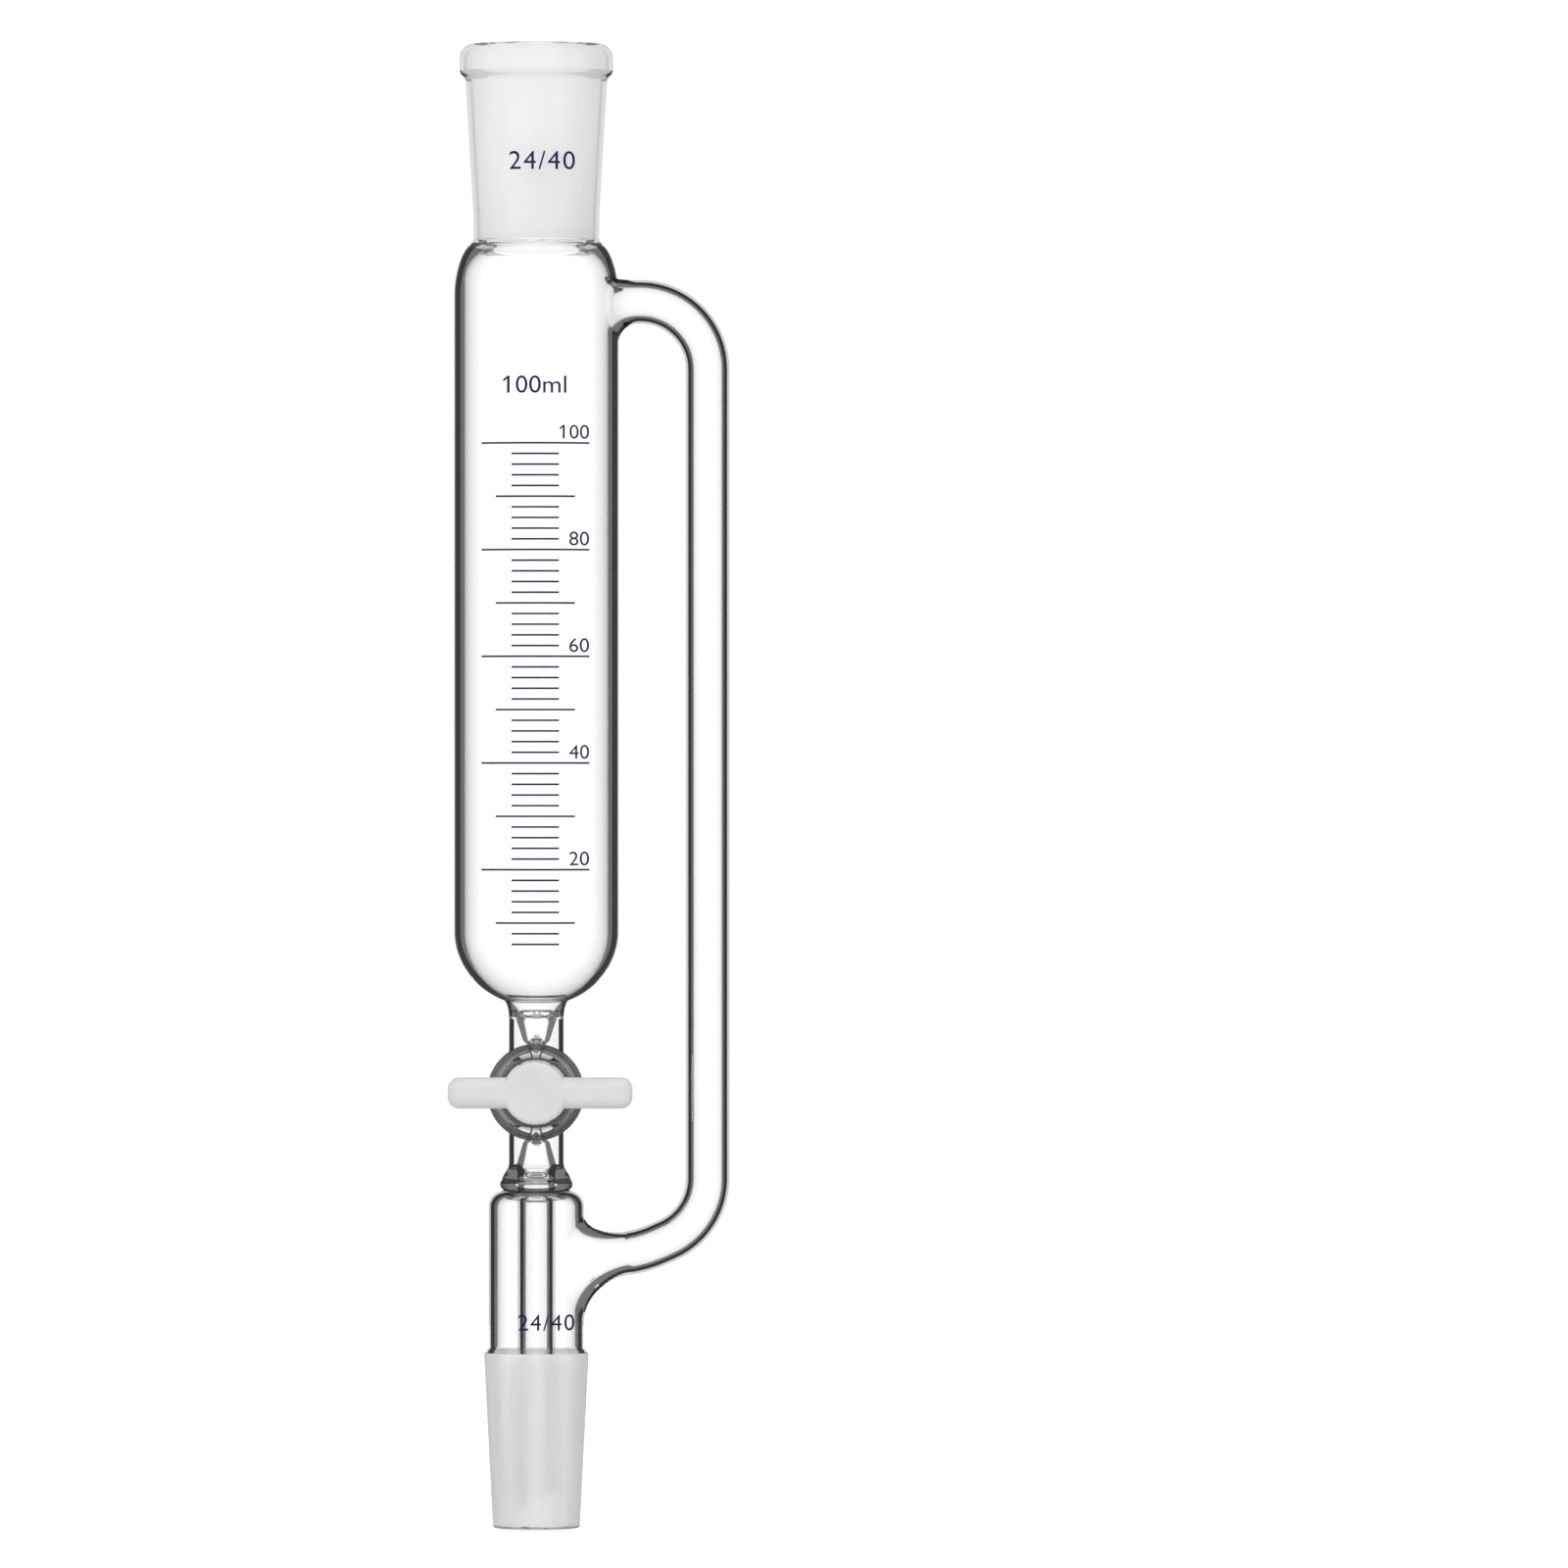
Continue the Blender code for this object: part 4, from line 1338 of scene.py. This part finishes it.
def gripGrooves(radius, front, back):
    # one groove, copied round the nut
    count = stopcock["nutGrooves"]
    clearSelection()
    bpy.ops.mesh.primitive_cylinder_add(vertices=24, radius=stopcock["grooveRadius"],
                                        depth=back - front + 2 * stopcock["overcut"],
                                        rotation=(math.pi / 2, 0, 0))
    grooves = [bpy.context.object]
    grooves += [copyOf(grooves[0]) for i in range(1, count)]
    for i, groove in enumerate(grooves):
        angle = 2 * math.pi * i / count
        groove.location = (radius * math.cos(angle), (front + back) / 2,
                           levels["stopcock"] + radius * math.sin(angle))
    joined = joinPieces(grooves)
    applyPlace(joined)
    return joined


def buildNut(finish):
    c = stopcock
    front, back = c["nutSpan"]
    small, large = c["nutRadii"]
    nut = alongAxis("grip_nut", [(large, front), (large, back)])
    combine(nut, gripGrooves(large, front, back), "DIFFERENCE")
    inner = small + c["recessWidth"]
    recess = [(inner, back - c["recessDepth"]), (inner + c["recessDraft"], back + c["overcut"])]
    combine(nut, alongAxis("nutRecess", recess), "DIFFERENCE")
    cutHole(nut, small, front, back)
    bevelSharp(nut, c["nutEdge"], 3, 38)
    setFinishes(nut, finish)
    smoothPiece(nut, 35)
    dressPiece(nut, "stopcock", "ptfe", "plug_nut")


ptfe = makeFinish("whitePtfe")
buildPlug(ptfe)
buildWasher(ptfe)
buildRing(makeFinish("blackRubber"))
buildNut(ptfe)
print("stopcock ready")


# fired enamel print: scale lines, numbers and joint sizes

enamel = {
    "relief": 0.00010,
    "sunk": 0.00004,
    "lineHeight": 0.00042,
    "firstLine": 0.09397,
    "pitch": 0.002437,
    "lines": 48,
    "lineFacet": 0.0006,
    "firstVolume": 6,
    "volumeStep": 2,
    "fullVolume": 100,
    "numberEvery": 20,
    "middleEvery": 10,
    "longHalf": 0.01225,
    "middleHalf": 0.0090,
    "shortHalf": 0.0054,
    "cut": 0.0007,
    "numberHeight": 0.00321,
    "numberGap": 0.00094,
    "digitWidth": 0.00225,
    "flagShare": 0.24,
    # the flag's middle, length, drop and thickness, as shares of its place and of the letters' height
    "flagShape": (0.62, 1.35, 0.185, 0.115),
    "flagTurn": math.radians(40),
}


def scaleLine(half):
    # a thin upright section turned about the main axis, once for each length of line
    radius = glass["reservoirRadius"]
    turn = math.asin(half / radius)
    start = -math.pi / 2 - turn
    middle = radius + (enamel["relief"] - enamel["sunk"]) / 2
    clearSelection()
    bpy.ops.mesh.primitive_plane_add(size=1, rotation=(math.pi / 2, 0, start),
                                     location=(middle * math.cos(start), middle * math.sin(start), 0))
    line = bpy.context.object
    line.scale = (enamel["relief"] + enamel["sunk"], enamel["lineHeight"], 1)
    applyPlace(line)
    startEdit()
    bpy.ops.mesh.spin(steps=max(int(half / enamel["lineFacet"]), 6), angle=-2 * turn, center=(0, 0, 0),
                      axis=(0, 0, 1))
    finishShell(merge=True)
    return line


def finishPrint(piece, name, finish):
    piece.name = name
    setFinishes(piece, finish)
    smoothPiece(piece, 30)
    dressPiece(piece, "funnel", "borosilicate_glass")


def buildLines(finish):
    e = enamel
    masters = {half: scaleLine(half) for half in (e["longHalf"], e["middleHalf"], e["shortHalf"])}
    lines = []
    for i in range(e["lines"]):
        volume = e["firstVolume"] + e["volumeStep"] * i
        half = e["middleHalf"] if volume % e["middleEvery"] == 0 else e["shortHalf"]
        if volume % e["numberEvery"] == 0:
            half = e["longHalf"]
        line = copyOf(masters[half])
        line.location.z = e["firstLine"] + e["pitch"] * i
        applyPlace(line)
        lines.append(line)
    for master in masters.values():
        bpy.data.objects.remove(master)
    finishPrint(joinPieces(lines), "scale_lines", finish)


def flagOfOne(left, flag, low, high):
    # the short slanted stroke at the head of a figure one
    middle, length, drop, thickness = enamel["flagShape"]
    height = high - low
    clearSelection()
    bpy.ops.mesh.primitive_cube_add(size=1, rotation=(0, -enamel["flagTurn"], 0),
                                    location=(left + flag * middle, (enamel["sunk"] - enamel["relief"]) / 2,
                                              high - height * drop))
    stroke = bpy.context.object
    stroke.scale = (flag * length, enamel["relief"] + enamel["sunk"], height * thickness)
    applyPlace(stroke)
    return stroke


def flatText(body, left, right, low, high, spacing):
    # text fitted to its place in front of the main axis
    clearSelection()
    bpy.ops.object.text_add(rotation=(math.pi / 2, 0, 0))
    text = bpy.context.object
    text.data.body = body
    text.data.extrude = 0.1
    text.data.resolution_u = 5
    text.data.space_character = spacing
    bpy.ops.object.convert(target="MESH")
    applyPlace(text)
    columns = list(zip(*text.bound_box))
    smallest = Vector([min(column) for column in columns])
    largest = Vector([max(column) for column in columns])
    wanted = (right - left, enamel["relief"] + enamel["sunk"], high - low)
    share = Vector([wanted[i] / (largest[i] - smallest[i]) for i in range(3)])
    text.scale = share
    text.location = Vector((left, -enamel["relief"], low)) - smallest * share
    applyPlace(text)
    return text


def lettering(body, left, right, low, high, radiusAt, spacing=1.0):
    # text laid on the glass: cut into narrow strips and laid round the wall
    flag = (high - low) * enamel["flagShare"] if body[0] == "1" else 0
    text = flatText(body, left + flag, right, low, high, spacing)
    if flag:
        text = joinPieces([text, flagOfOne(left, flag, low, high)])
    bpy.ops.object.mode_set(mode="EDIT")
    cut = left + enamel["cut"]
    while cut < right:
        bpy.ops.mesh.select_all(action="SELECT")
        bpy.ops.mesh.bisect(plane_co=(cut, 0, 0), plane_no=(1, 0, 0))
        cut += enamel["cut"]
    finishShell(merge=True)
    for vertex in text.data.vertices:
        radius = radiusAt(vertex.co.z) - vertex.co.y
        vertex.co.y = -math.sqrt(radius ** 2 - vertex.co.x ** 2)
    return text


def evenWall(radius):
    return lambda level: radius


def socketWall(level):
    low, high = levels["socketFoot"] + glass["footHeight"], levels["rimTop"] - glass["rimHeight"]
    return glass["socketRoot"] + (glass["socketTop"] - glass["socketRoot"]) * (level - low) / (high - low)


def buildNumbers(finish):
    e = enamel
    numbers = []
    for volume in range(e["numberEvery"], e["fullVolume"] + 1, e["numberEvery"]):
        level = e["firstLine"] + e["pitch"] * (volume - e["firstVolume"]) / e["volumeStep"]
        left = e["longHalf"] - e["digitWidth"] * len(str(volume))
        low = level + e["numberGap"]
        numbers.append(lettering(str(volume), left, e["longHalf"], low, low + e["numberHeight"],
                                 evenWall(glass["reservoirRadius"])))
    finishPrint(joinPieces(numbers), "scale_numbers", finish)


# text, left, right, foot and head of the letters, their wall and their spacing
labels = {
    "capacity_text": ("100ml", -0.0074, 0.0071, 0.2199, 0.2239, evenWall(glass["reservoirRadius"]), 1.0),
    "socket_size": ("24/40", -0.0060, 0.0090, 0.2711, 0.2753, socketWall, 1.12),
    "cone_size": ("24/40", -0.0040, 0.0088, 0.0055, 0.0092, evenWall(glass["jacketRadius"]), 1.12),
}

navy = makeFinish("navyEnamel")
buildLines(navy)
buildNumbers(navy)
for labelName, labelPlace in labels.items():
    finishPrint(lettering(*labelPlace), labelName, navy)
print("print ready")
